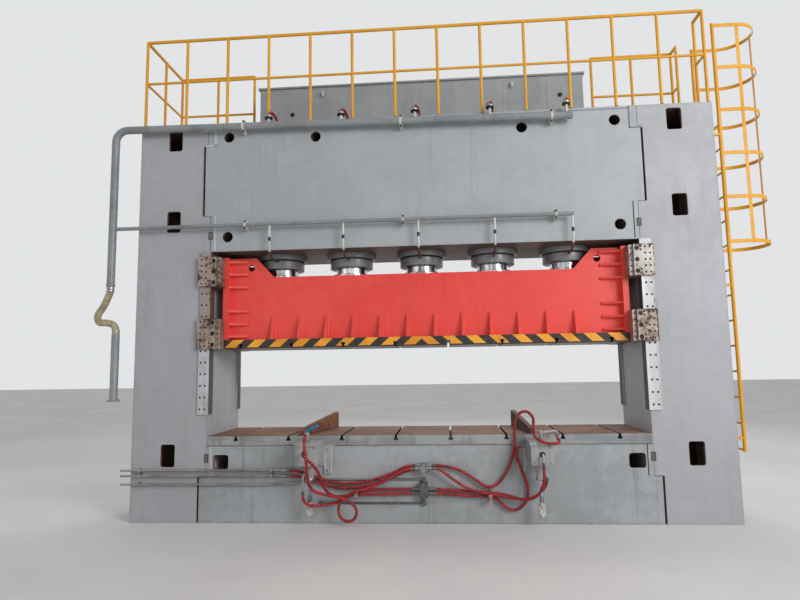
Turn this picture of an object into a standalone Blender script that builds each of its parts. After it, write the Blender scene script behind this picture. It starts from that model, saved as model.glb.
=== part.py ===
"""Straight-side hydraulic press with five cylinders in one row.

Two box uprights stand astride a keyed bed and carry a keyed crown. Five rams
in the crown push one slide, which runs on L-shaped rails at the four inner
corners of the uprights. The frame is +Z up, in metres, with its origin at the
middle of the bed's bottom face, +X to the operator's right and the front at -Y.
"""
import math

import bmesh
import bpy
from mathutils import Matrix, Vector

# Clearances
SEAT_GAP = 0.0003
RUN_GAP = 0.001
BORE_GAP = 0.002
WELD_OVERLAP = 0.004

# Press frame
FRAME_WIDTH = 7.20
FRAME_DEPTH = 1.12
UPRIGHT_WIDTH = 0.95
FACE_PLATE = 0.05
SIDE_PLATE = 0.06
CLOSING_PLATE = 0.04

# Tenons of the crown and the bed in the uprights
TENON_REACH = 0.11
TENON_SIDE_GAP = 0.025
HOOK_REACH = 0.05
HOOK_HEIGHT = 0.285
CROWN_HEIGHT = 1.672
CROWN_LEDGE_RISE = 0.467
BED_LEDGE_HEIGHT = 0.54

# Windows and inner plates of the uprights
WINDOW_WIDTH = 0.18
WINDOW_HEIGHT = 0.272
WINDOW_RADIUS = 0.025
WINDOW_FROM_SIDE = 0.46
WINDOW_LEVELS = (0.79, 3.7175, 4.7925)
UPRIGHT_PLATE_START = 1.10
UPRIGHT_PLATE_PITCH = 0.78
UPRIGHT_PLATE_COUNT = 5
UPRIGHT_PLATE_THICKNESS = 0.03
UPRIGHT_MANHOLE = (0.36, 0.46)

# Crown
CROWN_FLOOR = 0.09
CROWN_ROOF = 0.05
CROWN_PARTITION = 0.04
CROWN_HOLE_RADIUS = 0.068
CROWN_HOLES = ((2.43, 1.497), (1.30, 1.457), (2.43, 0.187))

# Bed and bolster
TABLE_HEIGHT = 1.023
BOLSTER_THICKNESS = 0.118
BED_PARTITION = 0.03
BED_CHAMBERS = 7
BED_TUNNEL = (0.40, 0.30)
BED_TUNNEL_LEVEL = 0.42
BED_WINDOW_SIZE = (0.19, 0.17)
BED_WINDOW_RADIUS = 0.03
BED_WINDOW_PLACE = (2.4685, 0.715)

# T-slots of the bolster and the platen
SLOT_COUNT = 8
SLOT_PITCH = 0.653
SLOT_NECK = 0.028
SLOT_NECK_DEPTH = 0.036
SLOT_FOOT = 0.050
SLOT_FOOT_HEIGHT = 0.024

# Slide
DAYLIGHT = 1.065
SLIDE_WIDTH = 5.04
PLATEN_DEPTH = 0.88
PLATEN_THICKNESS = 0.114
SLIDE_BODY_HEIGHT = 0.803
WEB_SETBACK = 0.10
WEB_PLATE = 0.05
SLIDE_END_PLATE = 0.07
SLIDE_TOP_PLATE = 0.06
SLIDE_CHAMBERS = 6
SLIDE_PARTITION = 0.04
EAR_RISE = 0.25
EAR_HEADROOM = 0.0577
EAR_TOP_WIDTH = 0.40
EAR_FOOT_WIDTH = 0.63
EAR_HOLE_RADIUS = 0.045
EAR_HOLE_FROM_END = 0.335
EAR_HOLE_RISE = 0.124
RIB_COUNT = 12
RIB_PITCH = 0.343
RIB_THICKNESS = 0.035
RIB_HEIGHT = 0.285
RIB_TOP_DEPTH = 0.02
RIB_TOE_HEIGHT = 0.03
END_RIB_LENGTH = 0.24
END_RIB_THICKNESS = 0.03
END_RIB_TIP_DEPTH = 0.03
END_RIB_INSET = 0.02
END_RIB_RISES = (0.028, 0.185, 0.350, 0.660, 0.825, 0.985)

# Guide rails and gib shoes
RAIL_THICKNESS = 0.02
RAIL_FACE_WIDTH = 0.12
RAIL_SIDE_DEPTH = 0.12
RAIL_BOTTOM = 1.285
SHOE_HEIGHT = 0.375
SHOE_SPACING = 0.778
SHOE_THICKNESS = 0.04
SHOE_OVERHANG = 0.01
SHOE_LEG = 0.083
SHOE_LEG_DEPTH = 0.30
SHOE_LIP_DEPTH = 0.05
SHOE_LIP_REACH = 0.02
SHOE_BORE_RADIUS = 0.028
SHOE_BORE_DEPTH = 0.02
SHOE_BORE_INSET = 0.036
SHOE_BORE_EDGE = 0.05

# Cylinders and rods
ROUND_SIDES = 16
CYLINDER_COUNT = 5
CYLINDER_PITCH = 0.93
BARREL_RADIUS = 0.28
BARREL_BORE = 0.25
BARREL_TOP_GAP = 0.03
BARREL_CAP = 0.06
FLANGE_RADIUS = 0.323
FLANGE_THICKNESS = 0.066
GLAND_RADIUS = 0.281
GLAND_THICKNESS = 0.12
ROD_RADIUS = 0.203
PISTON_THICKNESS = 0.15
PISTON_HEADROOM = 0.03
ROD_FOOT_RADIUS = 0.25
ROD_FOOT_THICKNESS = 0.035

# Roof tank
TANK_WIDTH = 4.46
TANK_DEPTH = 0.45
TANK_HEIGHT = 0.76
TANK_REAR_INSET = 0.02
TANK_WALL = 0.02
LID_THICKNESS = 0.025
LID_LIP = 0.025

# Guard railings
RAIL_TUBE_RADIUS = 0.021
KNEE_TUBE_RADIUS = 0.016
RAILING_POST_RADIUS = 0.019
RAILING_POST_REACH = 0.002
RAILING_CORNER = 0.025
TUBE_SIDES = 6
RAIL_TOP_HEIGHT = 1.20
RAIL_MIDDLE_HEIGHT = 0.62
RAILING_INSET = 0.03
FRONT_BAYS = 13
FRONT_RETURN = 0.26
REAR_RETURN = 0.20
REAR_RUN = 1.11

# Ladder and cage
LADDER_STANDOFF = 0.15
LADDER_FRONT = -0.38
LADDER_WIDTH = 0.64
LADDER_BOTTOM = 0.78
LADDER_TOP = 6.09
RUNG_RADIUS = 0.012
RUNG_START = 0.80
RUNG_PITCH = 0.305
RUNG_COUNT = 14
BRACE_LEVELS = (0.94, 2.75, 4.63)
BRACE_SIZE = 0.03
CAGE_START = 3.285
CAGE_PITCH = 0.556
CAGE_HOOPS = 6
CAGE_STRAIGHT = 0.30
HOOP_HEIGHT = 0.045
HOOP_THICKNESS = 0.008
STRIP_WIDTH = 0.04
STRIP_THICKNESS = 0.006

# Pipes on the frame
PIPE_STANDOFF = 0.10
HEADER_RADIUS = 0.048
HEADER_RIGHT = 1.90
HEADER_RIGHT_HEIGHT = 4.855
HEADER_LEFT_HEIGHT = 4.925
RISER_FROM_CENTRE = 3.89
RISER_BOTTOM = 2.89
RISER_BEND = 0.15
HEADER_CLAMPS = (-2.207, -0.20, 1.655)
STUB_START = -1.88
STUB_PITCH = 0.929
STUB_RADIUS = 0.018
STUB_TOP = 5.045
HEADER_HOSE_REACH = 0.20
FITTING_RADIUS = 0.05
FITTING_HEIGHT = 0.055
DRAIN_RADIUS = 0.024
DRAIN_HEIGHT = 3.625
DRAIN_RIGHT = 1.862
DRAIN_CLAMPS = (-2.17, -0.19, 1.655)
DROP_START = -1.858
DROP_PITCH = 0.926
DROP_RADIUS = 0.014
CLAMP_WIDTH = 0.035
CLAMP_WALL = 0.014

# Suction hose and pipe at the left
SUCTION_RADIUS = 0.045
SUCTION_PIPE_FROM_CENTRE = 3.80
SUCTION_PIPE_TOP = 2.28
SUCTION_PIPE_BOTTOM = 1.46
SUCTION_FLANGE_RADIUS = 0.075
SUCTION_FLANGE_THICKNESS = 0.02

# Pipes along the bed
BED_PIPE_RADIUS = 0.013
BED_PIPE_STANDOFF = 0.05
BED_PIPE_LEFT = 3.70
BED_PIPE_RIGHT = 1.645
BED_PIPE_LEVELS = (0.625, 0.56)
BED_UNION_RADIUS = 0.020
BED_UNION_LENGTH = 0.05
LOW_PIPE_RADIUS = 0.012
LOW_PIPE_STANDOFF = 0.0155
LOW_PIPE_LEVELS = (0.46, 0.512)
BED_CLAMP_FROM_CENTRE = 3.47

# Hose blocks in the middle of the bed's front
BLOCK_HALF_WIDTH = 0.045
UPPER_BLOCK = (0.60, 0.70)
UPPER_BLOCK_DEPTH = 0.13
LOWER_BLOCK = (0.315, 0.485)
LOWER_BLOCK_DEPTH = 0.10
PORT_DEPTH = 0.05
OUTER_PORT_DEPTH = 0.10
UPPER_PORTS = (0.675, 0.625)
OUTER_PORT = 0.65
LOWER_PORTS = (0.405, 0.355)
NUT_RADIUS = 0.019
NUT_LENGTH = 0.05
RETURN_PIPE_LEVEL = 0.238
RETURN_PIPE_LEFT = 1.25

# Side stations on the bed's front
STATION_LEFT = (-1.45, -1.205)
STATION_RIGHT = (1.21, 1.455)
STATION_DEPTH = 0.38
STATION_BOTTOM = 0.72
STATION_TOP = 0.945
STATION_LID = 0.035
STATION_LID_LIP = 0.015
STATION_BACK = 0.02
STATION_BACK_REACH = 0.14
RAM_FROM_FACE = 0.19
RAM_HOUSING_RADIUS = 0.055
RAM_HOUSING_BOTTOM = 0.53
RAM_ROD_RADIUS = 0.013
RAM_ROD_TOP = 0.68
RAM_BORE_TOP = 0.86
RAM_SLEEVE_RADIUS = 0.030
RAM_SLEEVE_TOP = 0.28
RAM_SLEEVE_BOTTOM = 0.12
POST_FROM_FACE = 0.30
POST_RADIUS = 0.018
POST_TOP = 1.09
ELBOW_RADIUS = 0.015

# Rusty bars that lie over the bolster
BAR_LENGTH = 1.03
BAR_THICKNESS = 0.06
BAR_FRONT_HEIGHT = 0.07
BAR_REAR_HEIGHT = 0.21
BAR_FROM_EDGE = 0.02
LEFT_BAR_FROM_CENTRE = 1.49
RIGHT_BAR_FROM_CENTRE = 1.28
LEFT_BAR_TURN = math.radians(-15)
RIGHT_BAR_TURN = math.radians(6)

# Hoses
HOSE_RADIUS = 0.017
HOSE_STEP = 0.10
HANGER_WIDTH = 0.04
HANGER_PLATE = 0.008
HANGER_PLACES = ((-0.79, 0.325), (0.765, 0.270))
HANGER_HEIGHT = 0.12
HANGER_REACH = 0.125

# Derived places
HALF_WIDTH = FRAME_WIDTH / 2
HALF_DEPTH = FRAME_DEPTH / 2
FRONT = -HALF_DEPTH
WINDOW_EDGE = HALF_WIDTH - UPRIGHT_WIDTH
TENON_EDGE = WINDOW_EDGE + TENON_REACH
HOOK_EDGE = WINDOW_EDGE - HOOK_REACH
BED_TOP = TABLE_HEIGHT - BOLSTER_THICKNESS
SLIDE_BOTTOM = TABLE_HEIGHT + DAYLIGHT
BODY_BOTTOM = SLIDE_BOTTOM + PLATEN_THICKNESS + SEAT_GAP
BODY_TOP = BODY_BOTTOM + SLIDE_BODY_HEIGHT
EAR_TOP = BODY_TOP + EAR_RISE
CROWN_BOTTOM = EAR_TOP + EAR_HEADROOM
CROWN_LEDGE = CROWN_BOTTOM + CROWN_LEDGE_RISE
FRAME_HEIGHT = CROWN_BOTTOM + CROWN_HEIGHT
HOOK_LEVEL = FRAME_HEIGHT - HOOK_HEIGHT
PLATEN_HALF = PLATEN_DEPTH / 2
WEB_HALF = PLATEN_HALF - WEB_SETBACK
SLIDE_END = SLIDE_WIDTH / 2
RAIL_INNER = WINDOW_EDGE - RAIL_THICKNESS
LADDER_X = HALF_WIDTH + LADDER_STANDOFF
LADDER_REAR = LADDER_FRONT + LADDER_WIDTH
LADDER_MIDDLE = LADDER_FRONT + LADDER_WIDTH / 2
RAILING_X = HALF_WIDTH - RAILING_INSET
RAILING_Y = HALF_DEPTH - RAILING_INSET
PIPE_Y = FRONT - PIPE_STANDOFF
STATION_FRONT = FRONT - STATION_DEPTH
RAM_Y = FRONT - RAM_FROM_FACE
POST_Y = FRONT - POST_FROM_FACE
PORT_Y = FRONT - PORT_DEPTH
OUTER_PORT_Y = FRONT - OUTER_PORT_DEPTH
BED_PIPE_Y = FRONT - BED_PIPE_STANDOFF
LOW_PIPE_Y = FRONT - LOW_PIPE_STANDOFF
HOSE_START = BLOCK_HALF_WIDTH + NUT_LENGTH + SEAT_GAP


def new_collection(name, parent):
    """Make a collection under another one."""
    collection = bpy.data.collections.new(name)
    parent.children.link(collection)
    return collection


def clear_scene():
    """Remove whatever objects the file holds."""
    for item in list(bpy.data.objects):
        bpy.data.objects.remove(item, do_unlink=True)


clear_scene()
PARTS = new_collection("hydraulic_press", bpy.context.scene.collection)
SHAPES = new_collection("cutters_and_joined_shapes", bpy.context.scene.collection)


def finish(name, colour, roughness, metallic):
    """Make a Principled material from an sRGB colour in 0 to 1."""
    material = bpy.data.materials.new(name)
    material.use_nodes = True
    shader = material.node_tree.nodes["Principled BSDF"]
    linear = [part / 12.92 if part <= 0.04045 else ((part + 0.055) / 1.055) ** 2.4 for part in colour]
    shader.inputs["Base Color"].default_value = (*linear, 1.0)
    shader.inputs["Roughness"].default_value = roughness
    shader.inputs["Metallic"].default_value = metallic
    return material


FRAME_PAINT = finish("frame_grey_paint", (0.60, 0.62, 0.64), 0.5, 0.0)
SLIDE_PAINT = finish("slide_red_paint", (0.85, 0.22, 0.18), 0.4, 0.0)
HAZARD_PAINT = finish("hazard_paint", (0.90, 0.62, 0.15), 0.5, 0.0)
RAILING_PAINT = finish("railing_yellow_paint", (0.93, 0.62, 0.13), 0.4, 0.0)
TANK_PAINT = finish("tank_grey_paint", (0.58, 0.61, 0.63), 0.5, 0.0)
TABLE_STEEL = finish("table_primer", (0.52, 0.37, 0.29), 0.75, 0.0)
RAIL_STEEL = finish("rail_steel", (0.72, 0.73, 0.75), 0.3, 0.9)
SHOE_STEEL = finish("shoe_steel", (0.55, 0.47, 0.43), 0.55, 0.5)
CYLINDER_STEEL = finish("cylinder_steel", (0.45, 0.46, 0.47), 0.45, 0.4)
ROD_CHROME = finish("rod_chrome", (0.80, 0.81, 0.82), 0.1, 1.0)
PIPE_STEEL = finish("pipe_steel", (0.55, 0.57, 0.58), 0.4, 0.5)
CLEAR_HOSE = finish("clear_suction_hose", (0.62, 0.59, 0.50), 0.3, 0.0)
HOSE_RUBBER = finish("red_hose", (0.60, 0.13, 0.14), 0.5, 0.0)
RUSTY_STEEL = finish("rusty_steel", (0.48, 0.27, 0.17), 0.85, 0.2)
BLOCK_STEEL = finish("block_steel", (0.50, 0.52, 0.53), 0.4, 0.6)
STATION_PAINT = finish("station_grey_paint", (0.62, 0.64, 0.64), 0.5, 0.0)


def shape_object(name, mesh):
    """Link a mesh as a helper shape, which a part may take over."""
    item = bpy.data.objects.new(name, mesh)
    SHAPES.objects.link(item)
    return item


def shape_from_bmesh(name, build):
    """Turn a bmesh into a helper shape."""
    mesh = bpy.data.meshes.new(name)
    build.to_mesh(mesh)
    build.free()
    return shape_object(name, mesh)


def box(name, low, high):
    """A block between its lowest and highest corners."""
    build = bmesh.new()
    bmesh.ops.create_cube(build, size=1.0)
    size = [b - a for a, b in zip(low, high)]
    middle = [(a + b) / 2 for a, b in zip(low, high)]
    bmesh.ops.scale(build, vec=size, verts=build.verts)
    bmesh.ops.translate(build, vec=middle, verts=build.verts)
    return shape_from_bmesh(name, build)


def round_bar(name, start, end, radius, sides=12):
    """A solid cylinder from one point to another."""
    first = Vector(start)
    along = Vector(end) - first
    build = bmesh.new()
    bmesh.ops.create_cone(
        build, cap_ends=True, segments=sides, radius1=radius, radius2=radius, depth=along.length
    )
    turn = Vector((0.0, 0.0, 1.0)).rotation_difference(along).to_matrix().to_4x4()
    place = Matrix.Translation(first + along / 2) @ turn
    bmesh.ops.transform(build, matrix=place, verts=build.verts)
    return shape_from_bmesh(name, build)


def curve_as_mesh(name, curve):
    """Turn a curve into a closed mesh, with its caps welded on."""
    helper = bpy.data.objects.new(name + "_curve", curve)
    mesh = bpy.data.meshes.new_from_object(helper)
    bpy.data.objects.remove(helper, do_unlink=True)
    build = bmesh.new()
    build.from_mesh(mesh)
    bmesh.ops.remove_doubles(build, verts=build.verts, dist=0.00005)
    bmesh.ops.recalc_face_normals(build, faces=build.faces)
    build.to_mesh(mesh)
    build.free()
    return mesh


def tube(name, points, radius, roundness=2):
    """A round bar bent along a line of points."""
    curve = bpy.data.curves.new(name, "CURVE")
    curve.dimensions = "3D"
    curve.bevel_depth = radius
    curve.bevel_resolution = roundness
    curve.use_fill_caps = True
    line = curve.splines.new("POLY")
    line.points.add(len(points) - 1)
    for knot, point in zip(line.points, points):
        knot.co = (*point, 1.0)
    return shape_object(name, curve_as_mesh(name, curve))


SLAB_TURNS = {
    "Z": Matrix.Identity(4),
    "Y": Matrix.Rotation(math.pi / 2, 4, "X"),
    "X": Matrix(((0, 0, 1, 0), (1, 0, 0, 0), (0, 1, 0, 0), (0, 0, 0, 1))),
}


def slab(name, outline, axis, low, high):
    """A flat outline pushed out along an axis between two levels.

    The outline's two numbers are x, y for axis Z, x, z for Y and y, z for X.
    """
    curve = bpy.data.curves.new(name, "CURVE")
    curve.dimensions = "2D"
    curve.fill_mode = "BOTH"
    curve.extrude = (high - low) / 2
    line = curve.splines.new("POLY")
    line.points.add(len(outline) - 1)
    for knot, point in zip(line.points, outline):
        knot.co = (*point, 0.0, 1.0)
    line.use_cyclic_u = True
    mesh = curve_as_mesh(name, curve)
    middle = (low + high) / 2
    shift = {"X": (middle, 0, 0), "Y": (0, middle, 0), "Z": (0, 0, middle)}[axis]
    mesh.transform(Matrix.Translation(shift) @ SLAB_TURNS[axis])
    return shape_object(name, mesh)


def rounded_box_outline(centre, size, radius, steps=2):
    """The outline of a rectangle with round corners, anticlockwise."""
    outline = []
    corners = ((1, 1), (-1, 1), (-1, -1), (1, -1))
    for quarter, (side, level) in enumerate(corners):
        middle_u = centre[0] + side * (size[0] / 2 - radius)
        middle_v = centre[1] + level * (size[1] / 2 - radius)
        for step in range(steps + 1):
            angle = (quarter + step / steps) * math.pi / 2
            outline.append((middle_u + radius * math.cos(angle), middle_v + radius * math.sin(angle)))
    return outline


def turned(name, profile, sides):
    """A solid of revolution: (radius, height) points down the outer side and back inside."""
    mesh = bpy.data.meshes.new(name)
    points = [(radius, 0.0, height) for radius, height in profile]
    mesh.from_pydata(points, [(n, n + 1) for n in range(len(points) - 1)], [])
    item = shape_object(name, mesh)
    screw = item.modifiers.new("turn", "SCREW")
    screw.steps = sides
    screw.render_steps = sides
    screw.use_merge_vertices = True
    screw.merge_threshold = 0.0001
    screw.use_smooth_shade = True
    return item


def combine(carrier, others, operation):
    """Join shapes to the carrier, or cut them out of it, with one Boolean."""
    tools = new_collection(carrier.name + "_" + operation.lower(), SHAPES)
    for other in others:
        for owner in list(other.users_collection):
            owner.objects.unlink(other)
        tools.objects.link(other)
        other.hide_render = True
        other.display_type = "WIRE"
    change = carrier.modifiers.new(operation.lower(), "BOOLEAN")
    change.operation = operation
    change.solver = "EXACT"
    change.operand_type = "COLLECTION"
    change.collection = tools
    return carrier


def weld(carrier, others):
    """Join shapes into one body."""
    return combine(carrier, others, "UNION")


def cut(carrier, others):
    """Cut shapes out of a body."""
    return combine(carrier, others, "DIFFERENCE")


def smooth_round(item):
    """Shade the round faces smooth and keep the edges sharp."""
    item.data.shade_smooth()
    item.data.set_sharp_from_angle(angle=math.radians(40))


def publish(item, name, material, parent=None):
    """Make a helper shape one of the press's pieces, placed from its parent if it has one."""
    for owner in list(item.users_collection):
        owner.objects.unlink(item)
    PARTS.objects.link(item)
    item.name = name
    if not item.data.materials:
        item.data.materials.append(material)
    if parent is not None:
        item.parent = parent
        item.location -= parent.location
    return item


def guide_empty(name, place):
    """An empty that stands on a joint's axis."""
    empty = bpy.data.objects.new(name, None)
    empty.location = place
    PARTS.objects.link(empty)
    return empty


def mirrored(points):
    """Mirror an outline in x and keep its turning direction."""
    return [(-x, y) for x, y in reversed(points)]


def smooth_route(knots, step):
    """A straight lead at each end and, between them, even points on a smooth curve."""
    knots = [Vector(knot) for knot in knots]
    fine = [knots[1]]
    for n in range(1, len(knots) - 2):
        before, here, there, after = knots[n - 1:n + 3]
        for part in range(1, 13):
            t = part / 12
            bend = 2 * here + (there - before) * t
            bend += (2 * before - 5 * here + 4 * there - after) * t ** 2
            bend += (3 * here - before - 3 * there + after) * t ** 3
            fine.append(bend / 2)
    travelled = [0.0]
    for first, second in zip(fine, fine[1:]):
        travelled.append(travelled[-1] + (second - first).length)
    count = max(2, round(travelled[-1] / step))
    route = [knots[0]]
    place = 0
    for n in range(count + 1):
        wanted = travelled[-1] * n / count
        while place < len(fine) - 2 and travelled[place + 1] < wanted:
            place += 1
        span = travelled[place + 1] - travelled[place]
        share = (wanted - travelled[place]) / span
        route.append(fine[place].lerp(fine[place + 1], share))
    return [*route, knots[-1]]


def tenon_cheeks(side_gap):
    """The x of the tenons' ends, with the play that the upright's recess leaves."""
    return TENON_EDGE - side_gap


def upright_outline():
    """Front view of the right upright, with the recesses that take the tenons."""
    return [
        (TENON_EDGE, 0.0),
        (HALF_WIDTH, 0.0),
        (HALF_WIDTH, FRAME_HEIGHT),
        (HOOK_EDGE, FRAME_HEIGHT),
        (HOOK_EDGE, HOOK_LEVEL),
        (TENON_EDGE, HOOK_LEVEL),
        (TENON_EDGE, CROWN_LEDGE),
        (WINDOW_EDGE, CROWN_LEDGE),
        (WINDOW_EDGE, BED_LEDGE_HEIGHT),
        (TENON_EDGE, BED_LEDGE_HEIGHT),
    ]


def upright(name, side):
    """A welded box column with inner plates, manholes and three windows in its front."""
    outline = upright_outline() if side > 0 else mirrored(upright_outline())
    body = slab(name, outline, "Y", -HALF_DEPTH, HALF_DEPTH)
    inner = TENON_EDGE + SIDE_PLATE
    outer = HALF_WIDTH - SIDE_PLATE
    levels = [UPRIGHT_PLATE_START + n * UPRIGHT_PLATE_PITCH for n in range(UPRIGHT_PLATE_COUNT)]
    floors = [CLOSING_PLATE, *[level + UPRIGHT_PLATE_THICKNESS for level in levels]]
    roofs = [*levels, FRAME_HEIGHT - CLOSING_PLATE]
    inside = HALF_DEPTH - FACE_PLATE
    low_x, high_x = sorted((side * inner, side * outer))
    cutters = [
        box(f"{name}_chamber_{n}", (low_x, -inside, floor), (high_x, inside, roof))
        for n, (floor, roof) in enumerate(zip(floors, roofs))
    ]
    middle = side * (inner + outer) / 2
    half_x, half_y = (size / 2 for size in UPRIGHT_MANHOLE)
    cutters.append(box(
        name + "_manholes",
        (middle - half_x, -half_y, CLOSING_PLATE + FACE_PLATE),
        (middle + half_x, half_y, FRAME_HEIGHT - CLOSING_PLATE - FACE_PLATE),
    ))
    for n, level in enumerate(WINDOW_LEVELS):
        centre = (side * (HALF_WIDTH - WINDOW_FROM_SIDE), level)
        outline = rounded_box_outline(centre, (WINDOW_WIDTH, WINDOW_HEIGHT), WINDOW_RADIUS)
        cutters.append(slab(f"{name}_window_{n}", outline, "Y", -HALF_DEPTH - FACE_PLATE, 0.0))
    return publish(cut(body, cutters), name, FRAME_PAINT)


def half_to_full(half):
    """Complete an outline from its right half, which runs from the bottom up."""
    return [*half, *[(-x, z) for x, z in reversed(half)]]


def crown():
    """The top beam: its tenons sit on the uprights' ledges, under their hooks."""
    cheek = tenon_cheeks(TENON_SIDE_GAP)
    half = [
        (WINDOW_EDGE - SEAT_GAP, CROWN_BOTTOM),
        (WINDOW_EDGE - SEAT_GAP, CROWN_LEDGE + SEAT_GAP),
        (cheek, CROWN_LEDGE + SEAT_GAP),
        (cheek, HOOK_LEVEL - SEAT_GAP),
        (HOOK_EDGE - SEAT_GAP, HOOK_LEVEL - SEAT_GAP),
        (HOOK_EDGE - SEAT_GAP, FRAME_HEIGHT),
    ]
    body = slab("crown", half_to_full(half), "Y", -HALF_DEPTH, HALF_DEPTH)
    inside = HALF_DEPTH - FACE_PLATE
    end = HOOK_EDGE - SIDE_PLATE
    walls = [(n - (CYLINDER_COUNT - 2) / 2) * CYLINDER_PITCH for n in range(CYLINDER_COUNT - 1)]
    starts = [-end, *[wall + CROWN_PARTITION / 2 for wall in walls]]
    stops = [*[wall - CROWN_PARTITION / 2 for wall in walls], end]
    floor = CROWN_BOTTOM + CROWN_FLOOR
    roof = FRAME_HEIGHT - CROWN_ROOF
    cutters = [
        box(f"crown_chamber_{n}", (start, -inside, floor), (stop, inside, roof))
        for n, (start, stop) in enumerate(zip(starts, stops))
    ]
    for n, x in enumerate(cylinder_places()):
        bottom = (x, 0.0, CROWN_BOTTOM - CROWN_FLOOR)
        top = (x, 0.0, floor + CROWN_FLOOR)
        cutters.append(round_bar(f"crown_bore_{n}", bottom, top, BARREL_RADIUS + BORE_GAP, ROUND_SIDES))
    for n, (x, rise) in enumerate(CROWN_HOLES):
        for side in (-1, 1):
            level = CROWN_BOTTOM + rise
            front = (side * x, -HALF_DEPTH - FACE_PLATE, level)
            behind = (side * x, 0.0, level)
            cutters.append(round_bar(f"crown_hole_{n}_{side}", front, behind, CROWN_HOLE_RADIUS))
    return publish(cut(body, cutters), "crown", FRAME_PAINT)


def hose_hanger(n, x, level):
    """A J-shaped steel strap on the bed's front, in which the hoses lie."""
    outline = [
        (FRONT + WELD_OVERLAP, level),
        (FRONT + WELD_OVERLAP, level + HANGER_HEIGHT),
        (FRONT - HANGER_PLATE, level + HANGER_HEIGHT),
        (FRONT - HANGER_PLATE, level + HANGER_PLATE),
        (FRONT - HANGER_REACH, level + HANGER_PLATE),
        (FRONT - HANGER_REACH, level + HANGER_HEIGHT * 0.7),
        (FRONT - HANGER_REACH - HANGER_PLATE, level + HANGER_HEIGHT * 0.7),
        (FRONT - HANGER_REACH - HANGER_PLATE, level),
    ]
    return slab(f"hose_hanger_{n}", outline, "X", x - HANGER_WIDTH / 2, x + HANGER_WIDTH / 2)


def bed():
    """The bottom beam: its tenons carry the uprights, and its chambers join in a tunnel."""
    cheek = tenon_cheeks(TENON_SIDE_GAP)
    half = [
        (cheek, 0.0),
        (cheek, BED_LEDGE_HEIGHT - SEAT_GAP),
        (WINDOW_EDGE - SEAT_GAP, BED_LEDGE_HEIGHT - SEAT_GAP),
        (WINDOW_EDGE - SEAT_GAP, BED_TOP),
    ]
    body = slab("bed", half_to_full(half), "Y", -HALF_DEPTH, HALF_DEPTH)
    hangers = [hose_hanger(n, *place) for n, place in enumerate(HANGER_PLACES)]
    weld(body, hangers)
    inside = HALF_DEPTH - FACE_PLATE
    end = WINDOW_EDGE - SIDE_PLATE
    pitch = (2 * end + BED_PARTITION) / BED_CHAMBERS
    cutters = []
    for n in range(BED_CHAMBERS):
        start = -end + n * pitch
        low = (start, -inside, CLOSING_PLATE)
        high = (start + pitch - BED_PARTITION, inside, BED_TOP - CLOSING_PLATE)
        cutters.append(box(f"bed_chamber_{n}", low, high))
    half_y, half_z = (size / 2 for size in BED_TUNNEL)
    reach = end - FACE_PLATE
    cutters.append(box(
        "bed_tunnel",
        (-reach, -half_y, BED_TUNNEL_LEVEL - half_z),
        (reach, half_y, BED_TUNNEL_LEVEL + half_z),
    ))
    for side in (-1, 1):
        centre = (side * BED_WINDOW_PLACE[0], BED_WINDOW_PLACE[1])
        outline = rounded_box_outline(centre, BED_WINDOW_SIZE, BED_WINDOW_RADIUS)
        cutters.append(slab(f"bed_window_{side}", outline, "Y", -HALF_DEPTH - FACE_PLATE, 0.0))
    return publish(cut(body, cutters), "bed", FRAME_PAINT)


def slot_cutters(name, face, inward, depth):
    """T-slots from front to rear: inward is -1 where they go down from the face."""
    neck = SLOT_NECK / 2
    foot = SLOT_FOOT / 2
    mouth = face - inward * FACE_PLATE
    step = face + inward * SLOT_NECK_DEPTH
    bottom = step + inward * SLOT_FOOT_HEIGHT
    cutters = []
    for n in range(SLOT_COUNT):
        x = (n - (SLOT_COUNT - 1) / 2) * SLOT_PITCH
        half = [(neck, mouth), (neck, step), (foot, step), (foot, bottom)]
        outline = [(x + u, z) for u, z in half] + [(x - u, z) for u, z in reversed(half)]
        cutters.append(slab(f"{name}_slot_{n}", outline, "Y", -depth, depth))
    return cutters


def bolster_plate():
    """The T-slotted table plate on the bed."""
    edge = WINDOW_EDGE - SEAT_GAP
    plate = box("bolster_plate", (-edge, -HALF_DEPTH, BED_TOP + SEAT_GAP), (edge, HALF_DEPTH, TABLE_HEIGHT))
    cutters = slot_cutters("bolster", TABLE_HEIGHT, -1, HALF_DEPTH + FACE_PLATE)
    return publish(cut(plate, cutters), "bolster_plate", TABLE_STEEL)


def cylinder_places():
    """The x of each cylinder's axis."""
    return [(n - (CYLINDER_COUNT - 1) / 2) * CYLINDER_PITCH for n in range(CYLINDER_COUNT)]


def cylinder_profile():
    """Barrel, flange and gland about the axis, with height 0 at the crown's underside."""
    top = CROWN_HEIGHT - CROWN_ROOF - BARREL_TOP_GAP
    flange = -SEAT_GAP - FLANGE_THICKNESS
    gland = flange - GLAND_THICKNESS
    return [
        (0.0, top),
        (BARREL_RADIUS, top),
        (BARREL_RADIUS, -SEAT_GAP),
        (FLANGE_RADIUS, -SEAT_GAP),
        (FLANGE_RADIUS, flange),
        (GLAND_RADIUS, flange),
        (GLAND_RADIUS, gland),
        (ROD_RADIUS + RUN_GAP, gland),
        (ROD_RADIUS + RUN_GAP, flange),
        (BARREL_BORE, flange),
        (BARREL_BORE, top - BARREL_CAP),
        (0.0, top - BARREL_CAP),
    ]


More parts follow.
